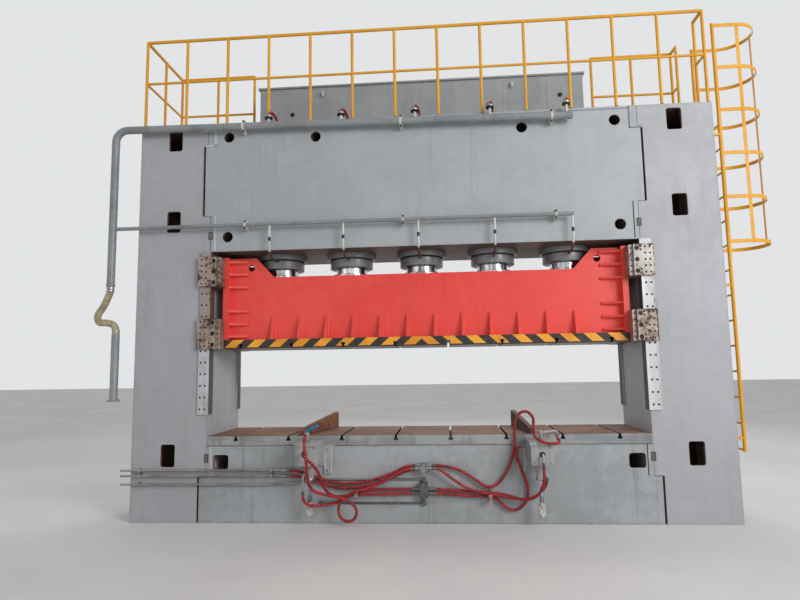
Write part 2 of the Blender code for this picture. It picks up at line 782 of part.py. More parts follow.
def rod_profile():
    """Piston, rod and foot flange about the axis, with height 0 at the slide's top."""
    bore_top = CROWN_BOTTOM + CROWN_HEIGHT - CROWN_ROOF - BARREL_TOP_GAP - BARREL_CAP
    top = bore_top - PISTON_HEADROOM - BODY_TOP
    piston = BARREL_BORE - RUN_GAP
    return [
        (0.0, top),
        (piston, top),
        (piston, top - PISTON_THICKNESS),
        (ROD_RADIUS, top - PISTON_THICKNESS),
        (ROD_RADIUS, SEAT_GAP + ROD_FOOT_THICKNESS),
        (ROD_FOOT_RADIUS, SEAT_GAP + ROD_FOOT_THICKNESS),
        (ROD_FOOT_RADIUS, SEAT_GAP),
        (0.0, SEAT_GAP),
    ]


def hydraulics(slide_axis):
    """Five cylinders in the crown and their rods on the slide."""
    barrel = turned("cylinder_1", cylinder_profile(), ROUND_SIDES)
    rod = turned("piston_rod_1", rod_profile(), ROUND_SIDES)
    for n, x in enumerate(cylinder_places(), start=1):
        first = n == 1
        shell = barrel if first else barrel.copy()
        ram = rod if first else rod.copy()
        for item in (shell, ram):
            if not item.users_collection:
                SHAPES.objects.link(item)
        shell.location = (x, 0.0, CROWN_BOTTOM)
        publish(shell, f"cylinder_{n}", CYLINDER_STEEL)
        ram.location = (x, 0.0, BODY_TOP)
        publish(ram, f"piston_rod_{n}", ROD_CHROME, slide_axis)


def slide_ribs():
    """Gussets between the webs and the platen, tapered towards the top."""
    ribs = []
    top = BODY_BOTTOM + RIB_HEIGHT
    for face in (-1, 1):
        root = face * (WEB_HALF - WELD_OVERLAP)
        outline = [
            (root, BODY_BOTTOM),
            (face * PLATEN_HALF, BODY_BOTTOM),
            (face * PLATEN_HALF, BODY_BOTTOM + RIB_TOE_HEIGHT),
            (face * (WEB_HALF + RIB_TOP_DEPTH), top),
            (root, top),
        ]
        for n in range(RIB_COUNT):
            x = (n - (RIB_COUNT - 1) / 2) * RIB_PITCH
            low, high = x - RIB_THICKNESS / 2, x + RIB_THICKNESS / 2
            ribs.append(slab(f"slide_rib_{face}_{n}", outline, "X", low, high))
    return ribs


def slide_end_ribs():
    """Short level gussets between the front web and the end plates."""
    ribs = []
    plate = SLIDE_END - SLIDE_END_PLATE
    root = -WEB_HALF + WELD_OVERLAP
    for side in (-1, 1):
        outline = [
            (side * (plate + WELD_OVERLAP), root),
            (side * (plate + WELD_OVERLAP), -PLATEN_HALF + END_RIB_INSET),
            (side * (plate - END_RIB_LENGTH), -WEB_HALF - END_RIB_TIP_DEPTH),
            (side * (plate - END_RIB_LENGTH), root),
        ]
        for n, rise in enumerate(END_RIB_RISES):
            low = BODY_BOTTOM + rise
            high = low + END_RIB_THICKNESS
            ribs.append(slab(f"slide_end_rib_{side}_{n}", outline, "Z", low, high))
    return ribs


def slide(slide_axis):
    """The red slide: two webs with raised ears, end plates, ribs and inner partitions."""
    body = box("slide", (-SLIDE_END, -WEB_HALF, BODY_BOTTOM), (SLIDE_END, WEB_HALF, EAR_TOP))
    end_plates = []
    for side in (-1, 1):
        low_x, high_x = sorted((side * SLIDE_END, side * (SLIDE_END - SLIDE_END_PLATE)))
        low = (low_x, -PLATEN_HALF, BODY_BOTTOM)
        end_plates.append(box(f"slide_end_plate_{side}", low, (high_x, PLATEN_HALF, EAR_TOP)))
    weld(body, end_plates + slide_ribs() + slide_end_ribs())
    ear_top_x = SLIDE_END - EAR_TOP_WIDTH
    ear_foot_x = SLIDE_END - EAR_FOOT_WIDTH
    high = EAR_TOP + FACE_PLATE
    slope = (ear_top_x - ear_foot_x) / EAR_RISE
    valley = [
        (ear_foot_x, BODY_TOP),
        (ear_foot_x + slope * (high - BODY_TOP), high),
        (-ear_foot_x - slope * (high - BODY_TOP), high),
        (-ear_foot_x, BODY_TOP),
    ]
    cutters = [slab("slide_valley", valley, "Y", -HALF_DEPTH, HALF_DEPTH)]
    inside = WEB_HALF - WEB_PLATE
    end = SLIDE_END - SLIDE_END_PLATE
    cutters.append(box("slide_ear_space", (-end, -inside, BODY_TOP), (end, inside, high)))
    for side in (-1, 1):
        x = side * (SLIDE_END - EAR_HOLE_FROM_END)
        level = BODY_TOP + EAR_HOLE_RISE
        front, rear = (x, -HALF_DEPTH, level), (x, HALF_DEPTH, level)
        cutters.append(round_bar(f"slide_ear_hole_{side}", front, rear, EAR_HOLE_RADIUS))
    pitch = (2 * end + SLIDE_PARTITION) / SLIDE_CHAMBERS
    for n in range(SLIDE_CHAMBERS):
        start = -end + n * pitch
        low = (start, -inside, BODY_BOTTOM - FACE_PLATE)
        top = (start + pitch - SLIDE_PARTITION, inside, BODY_TOP - SLIDE_TOP_PLATE)
        cutters.append(box(f"slide_chamber_{n}", low, top))
    return publish(cut(body, cutters), "slide", SLIDE_PAINT, slide_axis)


def slide_platen(slide_axis):
    """The T-slotted plate under the slide, with the striped edge."""
    top = SLIDE_BOTTOM + PLATEN_THICKNESS
    plate = box("slide_platen", (-SLIDE_END, -PLATEN_HALF, SLIDE_BOTTOM), (SLIDE_END, PLATEN_HALF, top))
    cutters = slot_cutters("platen", SLIDE_BOTTOM, 1, HALF_DEPTH)
    return publish(cut(plate, cutters), "slide_platen", HAZARD_PAINT, slide_axis)


def rail_outline():
    """Plan of the front right rail, wrapped round the upright's corner."""
    return [
        (RAIL_INNER, FRONT - RAIL_THICKNESS),
        (WINDOW_EDGE + RAIL_FACE_WIDTH, FRONT - RAIL_THICKNESS),
        (WINDOW_EDGE + RAIL_FACE_WIDTH, FRONT - SEAT_GAP),
        (WINDOW_EDGE - SEAT_GAP, FRONT - SEAT_GAP),
        (WINDOW_EDGE - SEAT_GAP, FRONT + RAIL_SIDE_DEPTH),
        (RAIL_INNER, FRONT + RAIL_SIDE_DEPTH),
    ]


def shoe_outline():
    """Plan of the front right gib shoe: a face plate, a leg beside the slide and a lip."""
    back = FRONT - RAIL_THICKNESS - RUN_GAP
    front = back - SHOE_THICKNESS
    outer = RAIL_INNER - RUN_GAP
    inner = outer - SHOE_LEG
    seat = SLIDE_END + SEAT_GAP
    slide_front = -PLATEN_HALF - SEAT_GAP
    return [
        (inner, front),
        (WINDOW_EDGE + RAIL_FACE_WIDTH + SHOE_OVERHANG, front),
        (WINDOW_EDGE + RAIL_FACE_WIDTH + SHOE_OVERHANG, back),
        (outer, back),
        (outer, FRONT + SHOE_LEG_DEPTH),
        (seat, FRONT + SHOE_LEG_DEPTH),
        (seat, slide_front),
        (SLIDE_END - SHOE_LIP_REACH, slide_front),
        (SLIDE_END - SHOE_LIP_REACH, slide_front - SHOE_LIP_DEPTH),
        (inner, slide_front - SHOE_LIP_DEPTH),
    ]


def corner_outline(outline, side, face):
    """Turn a front right plan into the plan of another corner."""
    return [(side * x, -face * y) for x, y in outline]


CORNERS = {
    "front_left": (-1, -1),
    "front_right": (1, -1),
    "rear_left": (-1, 1),
    "rear_right": (1, 1),
}


def shoe_bores(name, x, front, bottom):
    """Three counterbores in a column on a front shoe's face plate."""
    bores = []
    for n in range(3):
        z = bottom + SHOE_BORE_EDGE + n * (SHOE_HEIGHT - 2 * SHOE_BORE_EDGE) / 2
        mouth = (x, front - SHOE_BORE_DEPTH, z)
        end = (x, front + SHOE_BORE_DEPTH, z)
        bores.append(round_bar(f"{name}_bore_{n}", mouth, end, SHOE_BORE_RADIUS, 8))
    return bores


def guides(slide_axis):
    """A rail at each inner corner of the uprights and two gib shoes on each rail."""
    rail_top = CROWN_BOTTOM - SEAT_GAP
    shoe_bottoms = {"lower": SLIDE_BOTTOM, "upper": SLIDE_BOTTOM + SHOE_SPACING}
    for corner, (side, face) in CORNERS.items():
        plan = corner_outline(rail_outline(), side, face)
        rail = slab(f"{corner}_rail", plan, "Z", RAIL_BOTTOM, rail_top)
        publish(rail, f"{corner}_rail", RAIL_STEEL)
        plan = corner_outline(shoe_outline(), side, face)
        inner, front = shoe_outline()[0]
        for level, bottom in shoe_bottoms.items():
            name = f"{corner}_{level}_shoe"
            shoe = slab(name, plan, "Z", bottom, bottom + SHOE_HEIGHT)
            if face < 0:
                cut(shoe, shoe_bores(name, side * (inner + SHOE_BORE_INSET), front, bottom))
            publish(shoe, name, SHOE_STEEL, slide_axis)


def roof_tank():
    """The open oil tank on the crown's rear half and its lid."""
    rear = HALF_DEPTH - TANK_REAR_INSET
    front = rear - TANK_DEPTH
    half = TANK_WIDTH / 2
    bottom = FRAME_HEIGHT + SEAT_GAP
    top = FRAME_HEIGHT + TANK_HEIGHT
    tank = box("oil_tank", (-half, front, bottom), (half, rear, top))
    inside = box(
        "oil_tank_inside",
        (-half + TANK_WALL, front + TANK_WALL, bottom + TANK_WALL),
        (half - TANK_WALL, rear - TANK_WALL, top + TANK_WALL),
    )
    publish(cut(tank, [inside]), "oil_tank", TANK_PAINT)
    lid = box(
        "tank_lid",
        (-half - LID_LIP, front - LID_LIP, top + SEAT_GAP),
        (half + LID_LIP, rear + min(LID_LIP, TANK_REAR_INSET), top + LID_THICKNESS),
    )
    publish(lid, "tank_lid", TANK_PAINT)


def railing_post(name, x, y):
    """An upright tube on the crown's top, up into the hand rail."""
    foot = (x, y, FRAME_HEIGHT + SEAT_GAP)
    head = (x, y, FRAME_HEIGHT + RAIL_TOP_HEIGHT + RAILING_POST_REACH)
    return round_bar(name, foot, head, RAILING_POST_RADIUS, TUBE_SIDES)


def railing_line(corners, z):
    """A level line through plan corners, with each inner corner cut off."""
    spots = [Vector((x, y, z)) for x, y in corners]
    line = [spots[0]]
    for before, here, after in zip(spots, spots[1:], spots[2:]):
        line.append(here + (before - here).normalized() * RAILING_CORNER)
        line.append(here + (after - here).normalized() * RAILING_CORNER)
    return [*line, spots[-1]]


def railing(name, corners, posts):
    """One welded length of guard railing: hand rail, knee rail and posts."""
    hand_line = railing_line(corners, FRAME_HEIGHT + RAIL_TOP_HEIGHT)
    knee_line = railing_line(corners, FRAME_HEIGHT + RAIL_MIDDLE_HEIGHT)
    hand_rail = tube(name, hand_line, RAIL_TUBE_RADIUS, 1)
    shapes = [tube(name + "_knee_rail", knee_line, KNEE_TUBE_RADIUS, 1)]
    shapes += [railing_post(f"{name}_post_{n}", x, y) for n, (x, y) in enumerate(posts)]
    return publish(weld(hand_rail, shapes), name, RAILING_PAINT)


def railings():
    """Guard railings along the crown's edges, open at the ladder and the tank."""
    bay = 2 * RAILING_X / FRONT_BAYS
    front_posts = [(-RAILING_X + n * bay, -RAILING_Y) for n in range(FRONT_BAYS + 1)]
    front_end = (RAILING_X, -RAILING_Y + FRONT_RETURN)
    railing(
        "front_railing",
        [(-RAILING_X, -RAILING_Y), (RAILING_X, -RAILING_Y), front_end],
        [*front_posts, front_end],
    )
    clear = -RAILING_Y + RAIL_TUBE_RADIUS + SEAT_GAP
    run_end = -RAILING_X + REAR_RUN
    railing(
        "left_railing",
        [(-RAILING_X, clear), (-RAILING_X, RAILING_Y), (run_end, RAILING_Y)],
        [
            (-RAILING_X, 0.0),
            (-RAILING_X, RAILING_Y),
            (-RAILING_X + REAR_RUN / 2, RAILING_Y),
            (run_end, RAILING_Y),
        ],
    )
    rear_end = (RAILING_X, RAILING_Y - REAR_RETURN)
    railing(
        "rear_right_railing",
        [(-run_end, RAILING_Y), (RAILING_X, RAILING_Y), rear_end],
        [
            (-run_end, RAILING_Y),
            (RAILING_X - REAR_RUN / 2, RAILING_Y),
            (RAILING_X, RAILING_Y),
            rear_end,
        ],
    )


def ladder():
    """Two tube stringers with rungs, held off the right upright by braces."""
    sides = {"front": LADDER_FRONT, "rear": LADDER_REAR}
    shapes = []
    for side_name, y in sides.items():
        foot, head = (LADDER_X, y, LADDER_BOTTOM), (LADDER_X, y, LADDER_TOP)
        shapes.append(round_bar(f"ladder_{side_name}_stringer", foot, head, RAIL_TUBE_RADIUS, TUBE_SIDES))
        for n, level in enumerate(BRACE_LEVELS):
            low = (HALF_WIDTH + SEAT_GAP, y - BRACE_SIZE / 2, level - BRACE_SIZE / 2)
            high = (LADDER_X, y + BRACE_SIZE / 2, level + BRACE_SIZE / 2)
            shapes.append(box(f"ladder_{side_name}_brace_{n}", low, high))
    for n in range(RUNG_COUNT):
        z = RUNG_START + n * RUNG_PITCH
        start, end = (LADDER_X, LADDER_FRONT, z), (LADDER_X, LADDER_REAR, z)
        shapes.append(round_bar(f"ladder_rung_{n}", start, end, RUNG_RADIUS, TUBE_SIDES))
    return publish(weld(shapes[0], shapes[1:]), "ladder", RAILING_PAINT)


def hoop_line(inset):
    """Plan of a hoop's line: straight out from a stringer, half round and back."""
    start = LADDER_X + RAIL_TUBE_RADIUS * math.cos(math.pi / TUBE_SIDES) + SEAT_GAP
    middle = LADDER_X + CAGE_STRAIGHT
    radius = LADDER_WIDTH / 2 - inset
    line = [(start, LADDER_MIDDLE - radius)]
    for step in range(9):
        angle = -math.pi / 2 + step * math.pi / 8
        line.append((middle + radius * math.cos(angle), LADDER_MIDDLE + radius * math.sin(angle)))
    line.append((start, LADDER_MIDDLE + radius))
    return line


def ladder_cage():
    """Flat-bar hoops round the climber, tied by three upright strips."""
    outline = [*hoop_line(0.0), *reversed(hoop_line(HOOP_THICKNESS))]
    half = HOOP_HEIGHT / 2
    levels = [CAGE_START + n * CAGE_PITCH for n in range(CAGE_HOOPS)]
    shapes = [slab(f"cage_hoop_{n}", outline, "Z", z - half, z + half) for n, z in enumerate(levels)]
    low, high = levels[0] - half - SEAT_GAP, levels[-1] + half + SEAT_GAP
    middle = LADDER_X + CAGE_STRAIGHT
    outer = LADDER_WIDTH / 2 - HOOP_THICKNESS + WELD_OVERLAP / 2
    inner = outer - STRIP_THICKNESS
    width = STRIP_WIDTH / 2
    for n, side in enumerate((-1, 1)):
        low_y, high_y = sorted((LADDER_MIDDLE + side * inner, LADDER_MIDDLE + side * outer))
        near = (middle - width, low_y, low)
        far = (middle + width, high_y, high)
        shapes.append(box(f"cage_side_strip_{n}", near, far))
    shapes.append(box(
        "cage_outer_strip",
        (middle + inner, LADDER_MIDDLE - width, low),
        (middle + outer, LADDER_MIDDLE + width, high),
    ))
    return publish(weld(shapes[0], shapes[1:]), "ladder_cage", RAILING_PAINT)


def pipe_clamp(name, x, z, radius):
    """A saddle block that holds a pipe off the frame's front face."""
    low = (x - CLAMP_WIDTH / 2, PIPE_Y, z - radius - CLAMP_WALL)
    high = (x + CLAMP_WIDTH / 2, FRONT - SEAT_GAP, z + radius + CLAMP_WALL)
    return box(name, low, high)


def header_level(x):
    """Height of the sloping header at a place along the frame."""
    start = -RISER_FROM_CENTRE + RISER_BEND
    share = (x - start) / (HEADER_RIGHT - start)
    return HEADER_LEFT_HEIGHT + share * (HEADER_RIGHT_HEIGHT - HEADER_LEFT_HEIGHT)


def return_header():
    """The sloping header with its riser, clamps, five stubs and their short hoses."""
    corner_x = -RISER_FROM_CENTRE + RISER_BEND
    corner_z = HEADER_LEFT_HEIGHT - RISER_BEND
    line = [(HEADER_RIGHT, PIPE_Y, HEADER_RIGHT_HEIGHT)]
    for step in range(7):
        angle = math.pi / 2 + step * math.pi / 12
        x = corner_x + RISER_BEND * math.cos(angle)
        line.append((x, PIPE_Y, corner_z + RISER_BEND * math.sin(angle)))
    line.append((-RISER_FROM_CENTRE, PIPE_Y, RISER_BOTTOM))
    shapes = [tube("return_header", line, HEADER_RADIUS)]
    for n, x in enumerate(HEADER_CLAMPS):
        shapes.append(pipe_clamp(f"header_clamp_{n}", x, header_level(x), HEADER_RADIUS))
    for n in range(CYLINDER_COUNT):
        x = STUB_START + n * STUB_PITCH
        foot, head = (x, PIPE_Y, header_level(x)), (x, PIPE_Y, STUB_TOP)
        shapes.append(round_bar(f"header_stub_{n}", foot, head, STUB_RADIUS, TUBE_SIDES))
        low = (x, PIPE_Y, STUB_TOP - FITTING_HEIGHT)
        high = (x, PIPE_Y, STUB_TOP)
        shapes.append(round_bar(f"header_fitting_{n}", low, high, FITTING_RADIUS, 8))
        hose = [
            (x, PIPE_Y, STUB_TOP - STUB_RADIUS),
            (x + 0.01, PIPE_Y + 0.03, STUB_TOP + 0.045),
            (x + 0.03, PIPE_Y + 0.55 * HEADER_HOSE_REACH, STUB_TOP + 0.055),
            (x + 0.05, PIPE_Y + HEADER_HOSE_REACH, STUB_TOP + 0.01),
            (x + 0.05, PIPE_Y + HEADER_HOSE_REACH, FRAME_HEIGHT + SEAT_GAP),
        ]
        shapes.append(tube(f"header_hose_{n}", hose, STUB_RADIUS, 1))
    return publish(weld(shapes[0], shapes[1:]), "return_header", PIPE_STEEL)


def drain_header():
    """The thin lower header with its clamps and a drop line to each cylinder."""
    left = -RISER_FROM_CENTRE + HEADER_RADIUS + SEAT_GAP
    start, end = (left, PIPE_Y, DRAIN_HEIGHT), (DRAIN_RIGHT, PIPE_Y, DRAIN_HEIGHT)
    shapes = [round_bar("drain_header", start, end, DRAIN_RADIUS, 8)]
    for n, x in enumerate(DRAIN_CLAMPS):
        shapes.append(pipe_clamp(f"drain_clamp_{n}", x, DRAIN_HEIGHT, DRAIN_RADIUS))
    gland_level = CROWN_BOTTOM - FLANGE_THICKNESS - GLAND_THICKNESS * 0.3
    for n, cylinder_x in enumerate(cylinder_places()):
        x = DROP_START + n * DROP_PITCH
        knots = [
            (x, PIPE_Y, DRAIN_HEIGHT),
            (x, PIPE_Y, CROWN_BOTTOM + 0.03),
            (x, PIPE_Y + 0.012, CROWN_BOTTOM - 0.03),
            (x, PIPE_Y + 0.05, CROWN_BOTTOM - 0.065),
            (x, PIPE_Y + 0.12, gland_level),
            (cylinder_x, -GLAND_RADIUS - SEAT_GAP, gland_level),
        ]
        shapes.append(tube(f"drop_line_{n}", knots, DROP_RADIUS, 1))
    return publish(weld(shapes[0], shapes[1:]), "drain_header", PIPE_STEEL)


SUCTION_ROUTE = (
    (-RISER_FROM_CENTRE, PIPE_Y, RISER_BOTTOM - SEAT_GAP),
    (-RISER_FROM_CENTRE, PIPE_Y, 2.83),
    (-3.96, PIPE_Y, 2.66),
    (-4.04, PIPE_Y, 2.53),
    (-4.02, PIPE_Y, 2.445),
    (-3.93, PIPE_Y, 2.435),
    (-3.84, PIPE_Y, 2.41),
    (-SUCTION_PIPE_FROM_CENTRE, PIPE_Y, 2.34),
    (-SUCTION_PIPE_FROM_CENTRE, PIPE_Y, SUCTION_PIPE_TOP + SEAT_GAP),
)


def suction_line():
    """The clear hose under the riser and the flanged pipe that it is pushed on."""
    hose = tube("suction_hose", smooth_route(SUCTION_ROUTE, 0.05), SUCTION_RADIUS)
    publish(hose, "suction_hose", CLEAR_HOSE)
    x = -SUCTION_PIPE_FROM_CENTRE
    bottom = SUCTION_PIPE_BOTTOM + SUCTION_FLANGE_THICKNESS
    profile = [
        (0.0, SUCTION_PIPE_TOP),
        (HEADER_RADIUS, SUCTION_PIPE_TOP),
        (HEADER_RADIUS, bottom),
        (SUCTION_FLANGE_RADIUS, bottom),
        (SUCTION_FLANGE_RADIUS, SUCTION_PIPE_BOTTOM),
        (0.0, SUCTION_PIPE_BOTTOM),
    ]
    pipe = turned("suction_pipe", profile, 12)
    pipe.location = (x, PIPE_Y, 0.0)
    publish(pipe, "suction_pipe", PIPE_STEEL)


def bed_clamp(name, low_level, high_level):
    """A two-bolt clamp block on the left upright, round the bed pipes."""
    x = -BED_CLAMP_FROM_CENTRE
    wall = 0.02
    low = (x - CLAMP_WIDTH / 2, BED_PIPE_Y - BED_PIPE_RADIUS - 0.006, low_level - wall)
    high = (x + CLAMP_WIDTH / 2, FRONT - SEAT_GAP, high_level + wall)
    return box(name, low, high)


def bed_pipes():
    """Two pressure pipes in one clamp, and the lower pipe that runs on to the hose block."""
    shapes = [bed_clamp("bed_pipes", min(BED_PIPE_LEVELS), max(BED_PIPE_LEVELS))]
    for n, z in enumerate(BED_PIPE_LEVELS):
        start, end = (-BED_PIPE_LEFT, BED_PIPE_Y, z), (-BED_PIPE_RIGHT, BED_PIPE_Y, z)
        shapes.append(round_bar(f"bed_pipe_{n}", start, end, BED_PIPE_RADIUS, 8))
        nut = (-BED_PIPE_RIGHT - BED_UNION_LENGTH, BED_PIPE_Y, z)
        shapes.append(round_bar(f"bed_union_{n}", nut, end, BED_UNION_RADIUS, 6))
    publish(weld(shapes[0], shapes[1:]), "bed_pipes", PIPE_STEEL)
    low, high = LOW_PIPE_LEVELS
    end_x = -BLOCK_HALF_WIDTH / 2 - SEAT_GAP
    knots = [
        (-BED_PIPE_LEFT, BED_PIPE_Y, low),
        (-3.2, BED_PIPE_Y, low),
        (-2.4, BED_PIPE_Y, low),
        (-1.70, BED_PIPE_Y, low),
        (-1.50, LOW_PIPE_Y, low + 0.01),
        (-1.20, LOW_PIPE_Y, high),
        (-0.7, LOW_PIPE_Y, high),
        (end_x, LOW_PIPE_Y, high),
    ]
    clamp = bed_clamp("lower_bed_pipe", low, low)
    pipe = tube("lower_bed_pipe_run", knots, LOW_PIPE_RADIUS)
    publish(weld(clamp, [pipe]), "lower_bed_pipe", PIPE_STEEL)


def port_nuts(name, levels, y):
    """Hose nuts on both sides of a block."""
    nuts = []
    for side in (-1, 1):
        for n, z in enumerate(levels):
            start = (side * (BLOCK_HALF_WIDTH - WELD_OVERLAP), y, z)
            end = (side * (BLOCK_HALF_WIDTH + NUT_LENGTH), y, z)
            nuts.append(round_bar(f"{name}_nut_{side}_{n}", start, end, NUT_RADIUS, 6))
    return nuts


def hose_blocks():
    """The two port blocks in the middle of the bed's front."""
    low, high = UPPER_BLOCK
    upper = box(
        "upper_hose_block",
        (-BLOCK_HALF_WIDTH, FRONT - UPPER_BLOCK_DEPTH, low),
        (BLOCK_HALF_WIDTH, FRONT - SEAT_GAP, high),
    )
    nuts = port_nuts("upper", UPPER_PORTS, PORT_Y) + port_nuts("upper_outer", [OUTER_PORT], OUTER_PORT_Y)
    publish(weld(upper, nuts), "upper_hose_block", BLOCK_STEEL)
    low, high = LOWER_BLOCK
    lower = box(
        "lower_hose_block",
        (-BLOCK_HALF_WIDTH, FRONT - LOWER_BLOCK_DEPTH, low),
        (BLOCK_HALF_WIDTH, FRONT - SEAT_GAP, high),
    )
    elbow_half = BLOCK_HALF_WIDTH / 2
    top_elbow = box(
        "lower_block_top_elbow",
        (-elbow_half, FRONT - 2 * elbow_half, high - WELD_OVERLAP),
        (elbow_half, FRONT - SEAT_GAP, LOW_PIPE_LEVELS[1] + elbow_half),
    )
    bottom_elbow = box(
        "lower_block_bottom_elbow",
        (-elbow_half, FRONT - 2 * elbow_half, RETURN_PIPE_LEVEL - elbow_half),
        (elbow_half, FRONT - SEAT_GAP, low + WELD_OVERLAP),
    )
    start = (-RETURN_PIPE_LEFT, LOW_PIPE_Y, RETURN_PIPE_LEVEL)
    end = (0.0, LOW_PIPE_Y, RETURN_PIPE_LEVEL)
    pipe = round_bar("return_pipe", start, end, LOW_PIPE_RADIUS, 8)
    saddle = box(
        "return_pipe_saddle",
        (-RETURN_PIPE_LEFT, FRONT - 2 * LOW_PIPE_STANDOFF, RETURN_PIPE_LEVEL - elbow_half),
        (-RETURN_PIPE_LEFT + CLAMP_WIDTH, FRONT - SEAT_GAP, RETURN_PIPE_LEVEL + elbow_half),
    )
    shapes = [top_elbow, bottom_elbow, pipe, saddle] + port_nuts("lower", LOWER_PORTS, PORT_Y)
    publish(weld(lower, shapes), "lower_hose_block", BLOCK_STEEL)


def station(name, span, fittings):
    """A side station: back plate, lidded box, ram housing, post and hose fittings."""
    low_x, high_x = span
    middle = (low_x + high_x) / 2
    inward = 1 if middle < 0 else -1
    back_low, back_high = sorted((
        low_x if inward > 0 else high_x,
        (high_x if inward > 0 else low_x) + inward * STATION_BACK_REACH,
    ))
    wall = FRONT - SEAT_GAP
    body = box(name, (low_x, STATION_FRONT, STATION_BOTTOM), (high_x, wall, STATION_TOP))
    back = box(
        name + "_back_plate",
        (back_low, FRONT - STATION_BACK, STATION_BOTTOM - 0.05),
        (back_high, wall, STATION_TOP - 0.03),
    )
    lid = box(
        name + "_lid",
        (low_x - STATION_LID_LIP, STATION_FRONT - STATION_LID_LIP, STATION_TOP - WELD_OVERLAP),
        (high_x + STATION_LID_LIP, wall, STATION_TOP + STATION_LID),
    )
    housing = round_bar(
        name + "_ram_housing",
        (middle, RAM_Y, RAM_HOUSING_BOTTOM),
        (middle, RAM_Y, STATION_BOTTOM + WELD_OVERLAP),
        RAM_HOUSING_RADIUS,
    )
    post = round_bar(
        name + "_post", (middle, POST_Y, STATION_TOP), (middle, POST_Y, POST_TOP), POST_RADIUS, 8
    )
    pipes = [tube(f"{name}_fitting_{n}", line, ELBOW_RADIUS, 1) for n, line in enumerate(fittings)]
    weld(body, [back, lid, housing, post, *pipes])
    bore = round_bar(
        name + "_ram_bore",
        (middle, RAM_Y, RAM_HOUSING_BOTTOM - 0.05),
        (middle, RAM_Y, RAM_BORE_TOP),
        RAM_ROD_RADIUS + RUN_GAP,
    )
    return publish(cut(body, [bore]), name, STATION_PAINT)


def station_ram(name, span):
    """The station's rod with the wrapped sleeve on its lower end."""
    middle = (span[0] + span[1]) / 2
    axis = guide_empty(name + "_axis", (middle, RAM_Y, RAM_HOUSING_BOTTOM))
    profile = [
        (0.0, RAM_ROD_TOP),
        (RAM_ROD_RADIUS, RAM_ROD_TOP),
        (RAM_ROD_RADIUS, RAM_SLEEVE_TOP),
        (RAM_SLEEVE_RADIUS, RAM_SLEEVE_TOP - 0.02),
        (RAM_SLEEVE_RADIUS, RAM_SLEEVE_BOTTOM + 0.02),
        (RAM_SLEEVE_RADIUS - 0.008, RAM_SLEEVE_BOTTOM),
        (0.0, RAM_SLEEVE_BOTTOM),
    ]
    rod = turned(name, profile, 12)
    rod.location = (middle, RAM_Y, 0.0)
    return publish(rod, name, ROD_CHROME, axis)


def bar_over_table(name, x, turn):
    """A rusty tapered bar that lies across the bolster and rises to the rear."""
    outline = [
        (0.0, 0.0),
        (BAR_LENGTH, 0.0),
        (BAR_LENGTH, BAR_REAR_HEIGHT),
        (0.0, BAR_FRONT_HEIGHT),
    ]
    bar = slab(name, outline, "X", -BAR_THICKNESS / 2, BAR_THICKNESS / 2)
    bar.location = (x, FRONT + BAR_FROM_EDGE, TABLE_HEIGHT + SEAT_GAP)
    bar.rotation_euler = (0.0, 0.0, turn)
    return publish(bar, name, RUSTY_STEEL)


LEFT_MIDDLE = sum(STATION_LEFT) / 2
RIGHT_MIDDLE = sum(STATION_RIGHT) / 2
POST_PORT = POST_TOP - 0.02
LEAD = 0.035
LEFT_FITTINGS = (
    ((LEFT_MIDDLE, POST_Y, POST_PORT), (LEFT_MIDDLE, POST_Y - 0.075, POST_PORT)),
    ((-1.345, STATION_FRONT + 0.02, 0.863), (-1.345, STATION_FRONT - 0.035, 0.863)),
    (
        (-1.35, RAM_Y - 0.02, 0.60),
        (-1.39, RAM_Y - 0.03, 0.60),
        (-1.40, RAM_Y - 0.03, 0.58),
        (-1.40, RAM_Y - 0.03, 0.41),
    ),
)
RIGHT_FITTINGS = (
    (
        (RIGHT_MIDDLE, POST_Y, POST_PORT),
        (1.495, POST_Y, 1.09),
        (1.515, POST_Y, 1.08),
        (1.515, POST_Y, 1.06),
    ),
    (
        (1.335, STATION_FRONT + 0.02, 0.84),
        (1.335, STATION_FRONT - 0.04, 0.84),
        (1.335, STATION_FRONT - 0.055, 0.82),
        (1.335, STATION_FRONT - 0.055, 0.76),
    ),
    (
        (1.355, RAM_Y + 0.02, 0.60),
        (1.395, RAM_Y + 0.03, 0.60),
        (1.405, RAM_Y + 0.03, 0.585),
        (1.405, RAM_Y + 0.03, 0.555),
    ),
    ((STATION_RIGHT[0] + 0.02, -0.68, 0.90), (STATION_RIGHT[0] - 0.03, -0.68, 0.90)),
)

